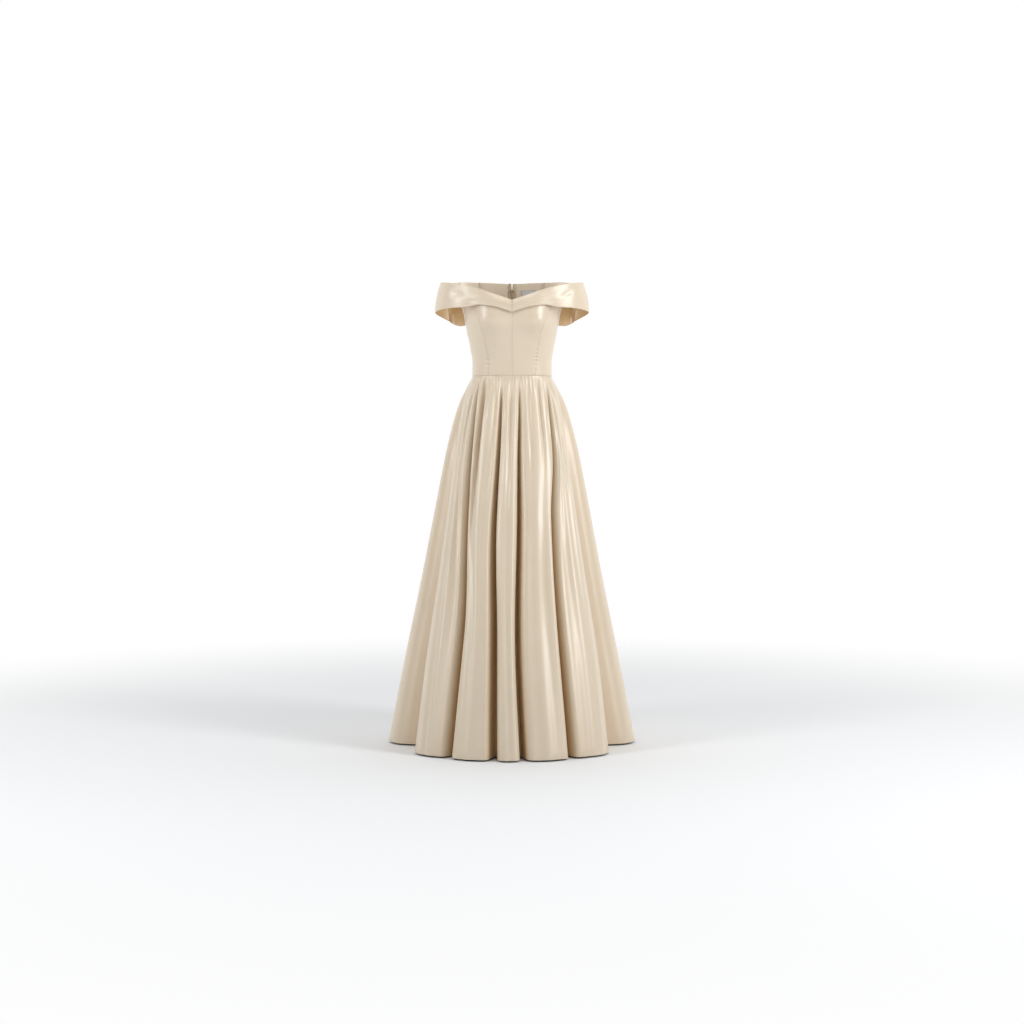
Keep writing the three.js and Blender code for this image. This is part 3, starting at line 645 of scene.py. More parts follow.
# Small gathers between them, most of them in front. Those of negative depth are ridges that
# run down to the hem along the edges of the crests and catch the light.
FINE_GATHERS = table(
    "fold share start stop depth width",
    (0, 0.22, 0, 90, 1.6, 3.0),
    (0, 0.40, 0, 150, 2.2, 3.2),
    (0, 0.84, 0, 70, 1.4, 2.6),
    (1, 0.10, 0, 120, 1.8, 2.8),
    (1, 0.22, 0, 60, 1.2, 2.4),
    (1, 0.50, 0, 170, 2.6, 3.2),
    (1, 0.60, 0, 80, 1.4, 2.6),
    (1, 0.83, 0, 200, 2.8, 3.4),
    (1, 0.92, 0, 60, 1.2, 2.2),
    (2, 0.12, 0, 90, 1.6, 2.6),
    (2, 0.26, 0, 210, 2.8, 3.4),
    (2, 0.38, 0, 70, 1.3, 2.4),
    (2, 0.63, 0, 120, 2.0, 3.0),
    (2, 0.77, 0, 240, 3.0, 3.6),
    (2, 0.90, 0, 70, 1.4, 2.4),
    (3, 0.10, 0, 90, 1.6, 2.4),
    (3, 0.20, 0, 190, 2.6, 3.2),
    (3, 0.29, 0, 70, 1.3, 2.2),
    (3, 0.45, 0, 130, 2.0, 2.8),
    (3, 0.53, 0, 80, 1.5, 2.4),
    (3, 0.69, 0, 160, 2.4, 3.0),
    (3, 0.86, 0, 110, 1.8, 2.6),
    (3, 0.94, 0, 60, 1.2, 2.2),
    (4, 0.18, 0, 100, 1.8, 2.6),
    (4, 0.62, 0, 160, 2.4, 3.2),
    (4, 0.82, 0, 80, 1.4, 2.6),
    (5, 0.25, 0, 110, 1.8, 3.0),
    (5, 0.82, 0, 80, 1.6, 2.8),
    (0, 0.46, 120, 1900, -1.6, 9),
    (0, 0.66, 200, 2300, 1.8, 12),
    (0, 0.78, 90, 2100, -2.4, 8),
    (1, 0.24, 160, 1700, -1.6, 7),
    (1, 0.58, 240, 2400, 2.0, 10),
    (1, 0.79, 100, 2500, -3.0, 7),
    (2, 0.36, 140, 1500, -1.4, 5),
    (2, 0.52, 200, 2200, 1.6, 6),
    (2, 0.70, 80, 2500, -2.8, 6),
    (3, 0.27, 260, 2400, -1.5, 8),
    (3, 0.64, 260, 2300, 2.2, 11),
    (3, 0.77, 120, 2600, -3.2, 8),
    (4, 0.25, 140, 2000, -2.2, 7),
    (4, 0.48, 220, 2100, 1.6, 12),
    (4, 0.75, 180, 2400, -1.8, 9),
    (5, 0.20, 300, 2600, -1.8, 14),
    (13, 0.80, 260, 2400, -1.8, 14),
    (7, 0.76, 140, 2400, -2.6, 8),
    (9, 0.28, 120, 2200, -2.2, 9),
    (10, 0.74, 160, 2500, -2.6, 8),
    (12, 0.30, 120, 2300, -2.4, 8),
)
SIDE_AND_BACK = range(5, 14)
ZIP_FOLD = 9
CHANNEL_SHARE, CHANNEL_WIDTHS = 0.2, 2.2
CREST_ARCH = 15

skirt_form = [smooth_line(SKIRT, "drop", name) for name in ("side", "front", "back", "square")]
valley_depth = smooth_line(VALLEY_GROWTH, "drop", "depth")
valley_width = smooth_line(VALLEY_GROWTH, "drop", "width")
level_drops = np.array(list(LEVELS.values()), float)
valley_lines = [
    smooth_line({"drop": level_drops, "angle": np.array(angles)}, "drop", "angle")
    for angles in zip(*(VALLEYS[level] for level in LEVELS))
]


def all_gathers():
    """The tables' gathers, and small ones at the sides and back in the same style."""
    rows = [*zip(*GATHERS.values()), *zip(*FINE_GATHERS.values())]
    chance = np.random.default_rng(11)
    for fold in SIDE_AND_BACK:
        places = (0.12, 0.27, 0.76, 0.9) if fold == ZIP_FOLD else (0.12, 0.27, 0.4, 0.63, 0.76, 0.9)
        for place in places:
            share = place + chance.uniform(-0.03, 0.03)
            size = chance.uniform(0, 1)
            rows.append((fold, share, 0, 60 + 150 * size, 1.2 + 1.6 * size, 2.4 + size))
    return rows


gather_rows = all_gathers()


def valley_angle(index, drop):
    """The angle of a deep fold. The count goes on past a full turn."""
    turns, around = divmod(index, len(valley_lines))
    return 360 * turns + valley_lines[around](drop)


def skirt_angle(fold, drop):
    """The angle of a place counted in folds. The first and last part of a fold lie in the valleys."""
    fold = np.atleast_2d(fold)
    angle = np.zeros(np.broadcast_shapes(fold.shape, drop.shape))
    for index in range(math.floor(fold.min()), math.floor(fold.max()) + 1):
        held = np.floor(fold[0]) == index
        share = fold[:, held] - index
        here, ahead = valley_angle(index, drop), valley_angle(index + 1, drop)
        width = np.degrees(CHANNEL_WIDTHS * valley_width(drop) / skirt_form[0](drop))
        first = here + width * VALLEYS["after"][index % len(valley_lines)]
        last = ahead - width * VALLEYS["before"][(index + 1) % len(valley_lines)]
        crest = between(first, last, (share - CHANNEL_SHARE) / (1 - 2 * CHANNEL_SHARE))
        low = between(here, first, share / CHANNEL_SHARE)
        high = between(ahead, last, (1 - share) / CHANNEL_SHARE)
        upper = np.where(share > 1 - CHANNEL_SHARE, high, crest)
        angle[:, held] = np.where(share < CHANNEL_SHARE, low, upper)
    return angle


def skirt_radius(angle, drop):
    """The skirt's form: a line of arched crests, with deep valleys between them and gathers on them."""
    crest = section_radius(angle, *(line(drop) for line in skirt_form))
    radius = crest.copy()
    for fold, share, start, stop, depth, width in gather_rows:
        gone = np.clip((drop - start) / (stop - start), 0, 1)
        turn = (angle - skirt_angle(fold + share, drop) + 180) % 360 - 180
        away = np.radians(turn) * crest / width
        radius -= depth * np.sin(np.pi * np.sqrt(gone)) ** 2 * np.exp(-(away**2))
    for index in range(-len(valley_lines), 2 * len(valley_lines)):
        here, ahead = valley_angle(index, drop), valley_angle(index + 1, drop)
        valley = {name: column[index % len(valley_lines)] for name, column in VALLEYS.items()}
        width = np.where(angle < here, valley["before"], valley["after"]) * valley_width(drop)
        away = np.radians(angle - here) * crest / width
        radius -= valley["depth"] * valley_depth(drop) / (1 + away**4)
        middle = 2 * (angle - here) / (ahead - here) - 1
        arched = (angle >= here) & (angle < ahead)
        radius -= np.where(arched, CREST_ARCH * valley_depth(drop) * middle**2, 0)
    return radius


def skirt_surface(fold, height):
    """A point of the skirt, by its place counted in folds and its height, which is below 0."""
    angle = skirt_angle(fold, -height)
    return at_angle(angle, skirt_radius(angle, -height), height)


# Long low ripples down the folds: their height and the drop over which they grow, in mm, and how fast the
# narrow and the wide ones follow each other, in radians a fold. The shade in the folds starts and is full at a
# depth in mm. It is weaker in the wide hollows at the sides, which lie open to the light.
RIPPLE = {"high": 1.2, "grown": 300, "narrow": 23, "wide": 6.1}
FOLD_SHADE = {"start": 4, "full": 38, "side": 75, "wide": 20, "weaker": 0.8}


def skirt_relief(phase):
    """The ripples of one panel, uneven in width and length."""

    def relief(points, u, v):
        drop = -v
        drift = 0.03 * np.sin(drop / 290 + phase)
        ripple = np.sin(RIPPLE["narrow"] * (u + drift) + phase)
        ripple = ripple * np.sin(RIPPLE["wide"] * u + 2 * phase + drop / 560)
        grown = np.clip(drop / RIPPLE["grown"], 0, 1) * (1 + 0.4 * np.sin(drop / 230 + 3 * u))
        return RIPPLE["high"] * ripple * grown

    return relief


def fold_depth(points, u, v):
    """The painted shade of the folds: 0 on the crests and 1 at the bottom of the deep folds."""
    angle = skirt_angle(u, -v)
    crest = section_radius(angle, *(line(-v) for line in skirt_form))
    from_side = (np.abs((angle + 180) % 360 - 180) - FOLD_SHADE["side"]) / FOLD_SHADE["wide"]
    shaded = 1 - FOLD_SHADE["weaker"] * np.exp(-(from_side**4))
    deep = crest - np.hypot(points[..., 0], points[..., 1]) - FOLD_SHADE["start"]
    return shaded * deep / FOLD_SHADE["full"]


def skirt_columns(first, last):
    """Columns close together in the valleys and at the two seams."""
    places = [0, 0.03, 0.06, 0.09, 0.12, 0.16, 0.2]
    places += list(np.linspace(0.2, 0.8, 58))[1:-1] + [1 - place for place in reversed(places[1:])]
    seam, clear = [0, 0.002, 0.004, 0.008, 0.015, 0.028], 0.034
    folds = range(math.floor(first), math.floor(last) + 1)
    columns = [fold + place for fold in folds for place in places]
    inner = [column for column in columns if first + clear < column < last - clear]
    return [first + step for step in seam] + inner + [last - step for step in reversed(seam)]


SKIRT_ROWS = [-SKIRT_LENGTH * (1 - share) ** 1.55 for share in np.linspace(0, 1, 92)]
HEM = rolled_over(25, radius=1.1)
skirt_edges = {"start": ALLOWANCE, "end": ALLOWANCE, "bottom": HEM, "top": ALLOWANCE}
SKIRT_PANELS = (
    ("skirt_front", -0.5, 5.5, (2.2, 1.13), 1.38, 0.4),
    ("skirt_back_left", 5.5, 9.5, (1.15, 1.13), 0.68, 1.7),
    ("skirt_back_right", 9.5, 13.5, (1.15, 1.13), 0.68, 2.9),
)
for name, first, last, flat, area, phase in SKIRT_PANELS:
    panel = sewn_panel(
        "satin_" + name,
        skirt_surface,
        skirt_columns(first, last),
        SKIRT_ROWS,
        skirt_edges,
        skirt_relief(phase),
        deep=fold_depth,
        reach=(0.004, 0.5),
    )
    made_of_satin(panel, name)

# Collar band.
# A straight band of satin, folded double and turned down over the neckline. It lies on the bust, leaves it in
# a smooth line and runs round each arm. Its two halves are sewn together at the centre front.
COLLAR_BOTTOM = table(
    "angle height",
    (0, 183),
    (9, 190),
    (20, 198),
    (31, 203),
    (41, 205),
    (50, 201),
    (57, 198.5),
    (70, 197),
    (80, 193),
    (90, 188),
    (97, 178.5),
    (104, 164),
)
COLLAR_OVAL = table("down side front back", (0, 212, 116, 98), (0.5, 222, 120, 90), (1, 230, 122, 80))
BAND_WALL, BAND_HEIGHT = 3.0, 48
BACK_OF_ARM = 104
collar_bottom = smooth_line(COLLAR_BOTTOM, "angle", "height")
collar_form = [smooth_line(COLLAR_OVAL, "down", name) for name in ("side", "front", "back")]


def collar_surface(angle, up):
    """A point of the band, by its angle and its share of the height. It lies on the bust or round the arm."""
    angle, up = np.asarray(angle, float), np.asarray(up, float)
    down = 1 - up
    height = between(collar_top(np.abs(angle)), collar_bottom(np.abs(angle)), down)
    on_bust = torso_radius(angle, height) + between(3.5, 6.5, down)
    on_arm = section_radius(angle, *(line(down) for line in collar_form), 2)
    near = np.maximum(10 - np.abs(on_bust - on_arm), 0)
    radius = np.maximum(on_bust, on_arm) + near**2 / 40
    return at_angle(angle, radius + 4 * np.sin(np.pi * down), height)


# Soft hollows where the band bends from the bust to the arm, and shallow folds on the way: side, angle, share
# of the band's height, length and height in mm, depth and slope.
ANGLE_WIDTH, SHARE_HEIGHT = 2.6, 65
COLLAR_FOLDS = table(
    "side angle up long tall depth slope",
    (1, 63, 0.60, 17, 8.0, 3.8, 0.35),
    (1, 54, 0.30, 20, 6, 1.6, 0.30),
    (1, 40, 0.62, 26, 6, 1.0, 0.12),
    (1, 82, 0.72, 14, 6, 1.8, 0.30),
    (1, 24, 0.30, 24, 6, 0.9, 0.10),
    (-1, 62, 0.56, 19, 10, 4.0, 0.18),
    (-1, 50, 0.28, 22, 7, 1.7, 0.22),
    (-1, 38, 0.66, 26, 6, 1.1, 0.10),
    (-1, 84, 0.45, 14, 8, 1.8, 0.35),
    (-1, 20, 0.36, 22, 6, 0.8, 0.10),
)


def collar_relief(side):
    """Slight waves of the band and the hollows of one side."""
    return lambda points, u, v: with_hollows(
        0.35 * np.sin(u / 3.4 + side) * np.sin(2.2 * v + u / 11),
        COLLAR_FOLDS,
        side,
        lambda row: (u - row["angle"]) * ANGLE_WIDTH,
        lambda row: (v - row["up"]) * SHARE_HEIGHT,
    )


def folded_band(name, surface, columns, tall, relief, wall, **choices):
    """A band folded double: its outer face, the fold at the top, its inner face and the fold at the bottom.
    Its two ends are turned in and sewn shut. Tall and wall are in mm."""
    radius = wall / 2
    inset = radius / tall
    face = np.linspace(inset, 1 - inset, 30)
    fold = round_fold(radius, np.linspace(0, math.pi, 8)[1:-1])
    inner = [(face[-1] - share, 0, wall) for share in reversed(face)]
    edges = {"top": list(reversed(fold + inner)), "bottom": [(0, 0, wall), *reversed(fold)]}
    # Its inner face takes the full painted shade.
    band = sewn_panel(name, surface, columns, face, edges, relief, pinch=1.4, shade=1.0, **choices)
    shaped = bmesh.new()
    shaped.from_mesh(band.data)
    bmesh.ops.remove_doubles(shaped, verts=shaped.verts, dist=0.004 * MM)
    shaped.to_mesh(band.data)
    shaped.free()
    return band


BAND_ENDS = (0, 0.0008, 0.002, 0.004, 0.007, 0.012, 0.02, 0.034, 0.052)
for side, hand in HANDS:
    band = folded_band(
        "collar_" + hand,
        collar_surface,
        close_to_ends(0, BACK_OF_ARM, 120, BAND_ENDS),
        BAND_HEIGHT,
        collar_relief(side),
        BAND_WALL,
        mirrored=side < 0,
        reach=(0.4, 0.01),
    )
    made_of_satin(band, "collar_front_" + hand, wall=0)

# Sleeve backs.
# Behind each arm a short piece of the same satin joins the band to the back of the armhole, so that the arm
# passes through a loop. Its lower edge hangs a little.
SLEEVE_WALL, SLEEVE_HEIGHT = 2.0, 90
SLEEVE_ENDS = (0, 0.003, 0.008, 0.015, 0.025, 0.04)
SLEEVE_SEAM, SLEEVE_CLEAR, SLEEVE_HANG, BOW = 0.5, 0.3, 5, 0.9


def sleeve_back_surface(share, up):
    """A smooth curve from the end of the band, which it goes on from, to the edge of the armhole."""
    share, up = np.asarray(share, float), np.asarray(up, float)
    start = collar_surface(BACK_OF_ARM, up)
    end = bodice_surface(between(2, ARM_BACK, up), 1)
    chord = end - start
    length = np.linalg.norm(chord, axis=-1, keepdims=True)
    outward = end * [1, 1, 0]
    outward /= np.linalg.norm(outward, axis=-1, keepdims=True)
    end = end + SLEEVE_CLEAR * outward - SLEEVE_SEAM * chord / length
    heading = collar_surface(BACK_OF_ARM + 1, up) - collar_surface(BACK_OF_ARM - 1, up)
    heading *= BOW * length / np.linalg.norm(heading, axis=-1, keepdims=True)
    t = share[..., None]
    points = start * (1 + 2 * t) * (1 - t) ** 2 + heading * t * (1 - t) ** 2
    points = points + end * t * t * (3 - 2 * t) + chord * t * t * (t - 1) * BOW
    points[..., 2] -= SLEEVE_HANG * np.sin(np.pi * share) * (1 - up)
    return points


def sleeve_relief(side):
    """Slight waves and one soft hollow."""

    def relief(points, u, v):
        soft = 0.8 * np.sin(5.2 * u + 1.4 * side) * np.sin(2.6 * v + 0.8)
        return soft - 1.2 * np.exp(-(((u - 0.45 - 0.1 * side) / 0.16) ** 2) - ((v - 0.4) / 0.3) ** 2)

    return relief


for side, hand in HANDS:
    back = folded_band(
        "sleeve_back_satin_" + hand,
        sleeve_back_surface,
        close_to_ends(0, 1, 40, SLEEVE_ENDS),
        SLEEVE_HEIGHT,
        sleeve_relief(side),
        SLEEVE_WALL,
        mirrored=side < 0,
        reach=(0.01, 0.01),
    )
    made_of_satin(back, "sleeve_back_" + hand, wall=0)

# Concealed zip, tapes.
# Two woven polyester tapes lie inside the centre back seam, from 210 mm below the waist to the top edge. Each
# is sewn to its seam allowance. They are narrow, plain twill, dyed a little darker than the satin.
ZIP_BOTTOM, ZIP_TOP = -210, 268
TAPE_INSET, TAPE_WIDTH, TAPE_DEPTH, TAPE_WALL = 0.9, 12, 2.7, 0.5


def back_radius(angle, height):
    """Radius of the dress above and below the waist seam."""
    bodice = torso_radius(angle, np.maximum(height, 0))
    return np.where(height >= 0, bodice, skirt_radius(angle, np.maximum(-height, 0)))


def inside_back(past_seam, depth, height):
    """A point inside the centre back: mm past the seam, mm in from the outside, and its height."""
    angle = 180 + np.degrees(past_seam / back_radius(180, height))
    steep = (back_radius(angle, height + 0.4) - back_radius(angle, height - 0.4)) / 0.8
    return at_angle(angle, back_radius(angle, height) - depth * np.hypot(1, steep), height)


def grain_of(tree):
    """The cloth's own coordinates: across and along the grain, in metres, and both as one vector."""
    grain = tree.node("UVMap", {"uv_map": "grain"}, {})
    across, along = (tree.node("SeparateXYZ", {}, {0: grain}, axis) for axis in "XY")
    return across, along, grain


def ribs(tree, along, pitch):
    """Fine ribs from 0 to 1, pitch mm apart."""
    return tree.math("SINE", along * (2000 * math.pi / pitch)) * 0.5 + 0.5


def woven_tape():
    material, tree = new_material("zip_tape")
    across, along, grain = grain_of(tree)
    rib, yarn = ribs(tree, across + along, 1.1), ribs(tree, along - across, 0.5)
    cloud = tree.noise(grain, (8, 40, 1))
    line = tree.math("COMPARE", across, TAPE_WIDTH * 0.22 * MM, 0.25 * MM)
    sewn = line * (ribs(tree, along, 2.6) > 0.25)
    cloth = (rib * 0.4 + cloud * 0.6).mixed((0.50, 0.38, 0.25, 1), (0.40, 0.29, 0.18, 1))
    colour = sewn.mixed(cloth, (0.62, 0.50, 0.36, 1))
    normal = (rib * 0.6 + yarn * 0.25 + sewn * 1.2).bump(0.6, 0.00012)
    surfaced(tree, Base_Color=colour, Roughness=cloud * 0.1 + 0.68, Normal=normal, Sheen_Weight=0.15)
    return material


def thickened(piece, wall, material):
    """Gives a flat piece its thickness and its material, and fixes it to the dress."""
    cloth = piece.modifiers.new("cloth", "SOLIDIFY")
    cloth.thickness, cloth.offset = wall * MM, -1
    piece.data.materials.append(material)
    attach(piece, "dress")


ZIP_TAPE = woven_tape()
for side, hand in HANDS:
    tape = sewn_panel(
        "zip_tape_woven_" + hand,
        lambda past_seam, height: inside_back(past_seam, TAPE_DEPTH, height),
        np.linspace(-TAPE_WIDTH, -TAPE_INSET, 9),
        np.linspace(ZIP_BOTTOM, ZIP_TOP, 110),
        {},
        lambda points, u, v: 0.08 * np.sin(v / 11) * np.sin(u / 3) - 0.05,
        mirrored=side < 0,
        reach=(0.5, 0.4),
    )
    thickened(tape, TAPE_WALL, ZIP_TAPE)
    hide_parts("zip_tape_" + hand)

# Concealed zip, coils and bottom stop.
# A coil of nylon filament runs along the edge of each tape, and the two coils mesh in the middle. They are
# only seen from inside. A small metal clip closes them at the lower end.
COIL = {"pitch": 1.3, "wide": 1.0, "deep": 0.65, "filament": 0.26, "apart": 0.62, "depth": 3.95}
COIL_START, COIL_TOP, COIL_STEPS, COIL_SIDES = ZIP_BOTTOM + 6, 257, 10, 6


def nylon():
    material, tree = new_material("zip_coil")
    place = tree.node("TexCoord", {}, {}, output="Object")
    cloud = tree.noise(place, (4, 4, 9))
    colour = cloud.mixed((0.55, 0.43, 0.30, 1), (0.47, 0.35, 0.23, 1))
    surfaced(tree, Base_Color=colour, Roughness=cloud * 0.12 + 0.3)
    return material


def finished(shape, name, material, body):
    """Makes a piece of a shape drawn in mm, with smooth faces, and fixes it to a body of the frame."""
    bmesh.ops.recalc_face_normals(shape, faces=shape.faces)
    bmesh.ops.scale(shape, verts=shape.verts, vec=(MM, MM, MM))
    mesh = bpy.data.meshes.new(name)
    shape.to_mesh(mesh)
    shape.free()
    mesh.shade_smooth()
    mesh.materials.append(material)
    piece = linked(name, mesh)
    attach(piece, body)
    return piece


def tube(line, radius, sides, aside):
    """A round tube along a line of points, with closed ends. It never runs in the direction aside."""
    heading = np.gradient(line, axis=0)
    across = np.cross(heading, aside)
    across /= np.linalg.norm(across, axis=1, keepdims=True)
    over = np.cross(across, heading)
    over /= np.linalg.norm(over, axis=1, keepdims=True)
    around = np.linspace(0, 2 * math.pi, sides, endpoint=False)[None, :, None]
    rings = line[:, None] + radius * (np.cos(around) * across[:, None] + np.sin(around) * over[:, None])
    shape = bmesh.new()
    verts = [[shape.verts.new(place) for place in ring] for ring in rings]
    for ring, ahead in zip(verts, verts[1:]):
        for i in range(sides):
            j = (i + 1) % sides
            shape.faces.new((ring[i], ring[j], ahead[j], ahead[i]))
    shape.faces.new(verts[0])
    shape.faces.new(list(reversed(verts[-1])))
    return shape


def coil(side, start):
    """A flattened helix, laid along the inside of the back."""
    turns = int((COIL_TOP - start) / COIL["pitch"])
    turned = np.linspace(0, 2 * math.pi * turns, turns * COIL_STEPS + 1)[:, None]
    height = start + COIL["pitch"] * turned / (2 * math.pi)
    past_seam = side * COIL["apart"] + COIL["wide"] * np.cos(turned)
    depth = COIL["depth"] + COIL["deep"] * np.sin(turned)
    return tube(inside_back(past_seam, depth, height)[:, 0], COIL["filament"], COIL_SIDES, (0, 0, 1))


NYLON = nylon()
for side, hand in ((-1, "left"), (1, "right")):
    start = COIL_START + (COIL["pitch"] / 2 if side > 0 else 0)
    finished(coil(side, start), "zip_coil_" + hand, NYLON, "dress")


def metal():
    """Plated brass: light and smooth, with fine scratches and a duller film here and there."""
    material, tree = new_material("metal")
    place = tree.node("TexCoord", {}, {}, output="Object")
    film = tree.noise(place, (2.2, 2.2, 3.0), detail=3.0)
    scratch = tree.noise(place, (0.9, 0.9, 0.05), detail=1.0)
    colour = film.mixed((0.66, 0.56, 0.42, 1), (0.46, 0.37, 0.26, 1))
    rough = film * 0.2 + scratch * 0.08 + 0.16
    surfaced(tree, Base_Color=colour, Metallic=1.0, Roughness=rough, Normal=scratch.bump(0.15, 0.00003))
    return material


METAL = metal()
BEVEL = {"segments": 3, "profile": 0.5, "affect": "EDGES", "material": -1}


def block(shape, size, centre, soft, narrow=1.0):
    """Adds a block with rounded edges. Narrow is the width of its lower end as a share of the upper."""
    verts = bmesh.ops.create_cube(shape, size=1)["verts"]
    lower = [vert for vert in verts if vert.co.z < 0]
    bmesh.ops.scale(shape, verts=lower, vec=(narrow, 1, 1))
    bmesh.ops.scale(shape, verts=verts, vec=size)
    bmesh.ops.translate(shape, verts=verts, vec=centre)
    edges = list(dict.fromkeys(edge for vert in verts for edge in vert.link_edges))
    bmesh.ops.bevel(shape, geom=edges, offset=soft, **BEVEL)


stop = bmesh.new()
foot = inside_back(np.zeros((1, 1)), COIL["depth"], np.full((1, 1), COIL_START - 1.0))[0, 0]
block(stop, (4.2, 2.2, 3.2), tuple(foot), 0.5)
finished(stop, "zip_bottom_stop", METAL, "dress")

# Concealed zip, slider.
# Cast metal: two plates with a channel between them for the coils, side flanges, and a neck that passes
# through the seam and carries a cross pin outside. It is drawn up to the top and moves along the coils only.
PIVOT = Vector((0, 102.1, 262.5))


def rod(shape, radius, length, centre, soft):
    """Adds a cross rod along X with rounded rims."""
    turn = Matrix.Translation(centre) @ Matrix.Rotation(math.pi / 2, 4, "Y")
    made = bmesh.ops.create_cone(
        shape, segments=28, radius1=radius, radius2=radius, depth=length, cap_ends=True, matrix=turn
    )
    faces = dict.fromkeys(face for vert in made["verts"] for face in vert.link_faces)
    rims = [edge for face in faces if len(face.verts) > 4 for edge in face.edges]
    bmesh.ops.bevel(shape, geom=rims, offset=soft, **BEVEL)


slider = bmesh.new()
block(slider, (7, 0.9, 9), (0, 94.05, PIVOT.z), 0.3, narrow=0.74)
block(slider, (6.6, 0.6, 8.6), (0, 95.9, PIVOT.z), 0.25, narrow=0.74)
block(slider, (1.5, 2.2, 3.2), (0, 94.95, PIVOT.z + 2.7), 0.3, narrow=0.5)
for side in (-1, 1):
    block(slider, (0.6, 1.6, 6.4), (side * 2.95, 94.9, PIVOT.z + 0.6), 0.2)
block(slider, (1, 7.6, 7), (0, 99.4, PIVOT.z), 0.35)
rod(slider, 0.6, 5.4, PIVOT, 0.2)
slider = finished(slider, "zip_slider_cast", METAL, "dress")
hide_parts("zip_slider")

# Concealed zip, pull tab.
# A small flat cast drop. Its two arms end in eyes that hang on the slider's cross pin outside the seam, so it
# swings up and down.
TAB = {"thickness": 1.2, "inner": 0.8, "outer": 2.3, "arm": 4.6, "length": 22, "half": 3.4}
EYE = {"inner": 0.9, "outer": 1.5, "below": -0.95}
TAB_ROUNDING = 0.22


def pull_tab():
    """The plate with its two arms: an outline, drawn out to its thickness and rounded at its rims."""
    shape = bmesh.new()
    tip = -TAB["length"] + TAB["half"]
    inner, outer, half, arm, below = TAB["inner"], TAB["outer"], TAB["half"], -TAB["arm"], EYE["below"]
    outline = [(inner, below), (inner, arm + 0.4), (inner - 0.4, arm)]
    outline = [(-x, z) for x, z in outline] + [(x, z) for x, z in reversed(outline)]
    outline += [(outer, below), (outer, arm)]
    outline += [(half * math.cos(a), tip + half * math.sin(a)) for a in np.linspace(0, -math.pi, 25)]
    outline += [(-outer, arm), (-outer, below)]
    back = PIVOT.y - TAB["thickness"] / 2
    plate = shape.faces.new([shape.verts.new((x, back, PIVOT.z + z)) for x, z in outline])
    drawn = bmesh.ops.extrude_face_region(shape, geom=[plate])["geom"]
    moved = [item for item in drawn if isinstance(item, bmesh.types.BMVert)]
    bmesh.ops.translate(shape, verts=moved, vec=(0, TAB["thickness"], 0))
    rims = [edge for face in shape.faces if len(face.verts) > 4 for edge in face.edges]
    bmesh.ops.bevel(shape, geom=rims, offset=TAB_ROUNDING, **BEVEL)
    for face in [face for face in shape.faces if len(face.verts) > 12]:
        bmesh.ops.triangulate(shape, faces=[face])
    return shape


def eye_ring(shape, side):
    """A ring round the pin: its section is drawn once and spun right round."""
    corners = [(TAB["inner"], EYE["inner"]), (TAB["outer"], EYE["inner"])]
    corners += [(x, EYE["outer"]) for x, _ in reversed(corners)]
    verts = [shape.verts.new((side * x, PIVOT.y, PIVOT.z + out)) for x, out in corners]
    edges = [shape.edges.new((verts[i], verts[(i + 1) % 4])) for i in range(4)]
    bmesh.ops.spin(
        shape, geom=edges, cent=PIVOT, axis=(1, 0, 0), angle=2 * math.pi, steps=28, use_merge=True
    )


tab = pull_tab()
for side in (-1, 1):
    eye_ring(tab, side)
tab = finished(tab, "zip_pull_cast", METAL, "zip_pull")
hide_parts("zip_pull")

# Hook and eye.
# Bent from plated wire and sewn inside the top edge over the zip: the hook on the wearer's right, the eye on
# the left. Small loops at their feet take the stitches.
WIRE_RADIUS, WIRE_SIDES, LOOP_RADIUS = 0.42, 10, 1.3
WIRE_BEHIND = 96.75
HOOK_LINE = [(-9.5, 272.4), (-9.5, 281), (-7, 285.2), (-4.6, 282.5), (-4.4, 278)]
EYE_LINE = [(5.4, 272.4), (5.4, 281), (8.4, 285.4), (11.4, 281), (11.4, 272.4)]


def rounded_line(corners, count):
    """A smooth line through points of the plane that the wires lie in."""
    x, z = np.array(corners, float).T
    ends = [2 * x[0] - x[1], *x, 2 * x[-1] - x[-2]], [2 * z[0] - z[1], *z, 2 * z[-1] - z[-2]]
    p = np.array(ends).T
    t = np.linspace(0, 1, count, endpoint=False)[:, None]
    parts = []
    for a, b, c, d in zip(p, p[1:], p[2:], p[3:]):
        parts.append(b + 0.5 * t * (c - a + t * (2 * a - 5 * b + 4 * c - d + t * (3 * (b - c) + d - a))))
    return np.concatenate([*parts, p[-2:-1]])


def foot_loop(at, away):
    """Three quarters of a circle that ends at a point, on the side that away points to."""
    turn = np.linspace(-1.55 * math.pi, 0, 22)[:, None]
    centre = np.array(at) + LOOP_RADIUS * np.array([away, 0])
    down = np.array([0, 1.0])
    return centre - LOOP_RADIUS * (np.cos(turn) * np.array([away, 0]) + np.sin(turn) * -down)


def wire(name, line):
    """A hook or an eye, bent along a line in the plane of the wires."""
    x, z = np.asarray(line).T
    shape = tube(np.stack([x, np.full_like(x, WIRE_BEHIND), z], 1), WIRE_RADIUS, WIRE_SIDES, (0, 1, 0))
    piece = finished(shape, name + "_wire", METAL, "dress")
    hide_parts(name)


def doubled(line, apart):
    """The wire runs up one side of a line, turns back at its end and comes down the other."""
    heading = np.gradient(line, axis=0)
    heading /= np.linalg.norm(heading, axis=1, keepdims=True)
    normal = np.stack([-heading[:, 1], heading[:, 0]], 1)
    turned = np.linspace(0, math.pi, 9)[1:-1, None]
    bend = line[-1] + apart * (np.cos(turned) * normal[-1] + np.sin(turned) * heading[-1])
    return np.concatenate([line + apart * normal, bend, (line - apart * normal)[::-1]])


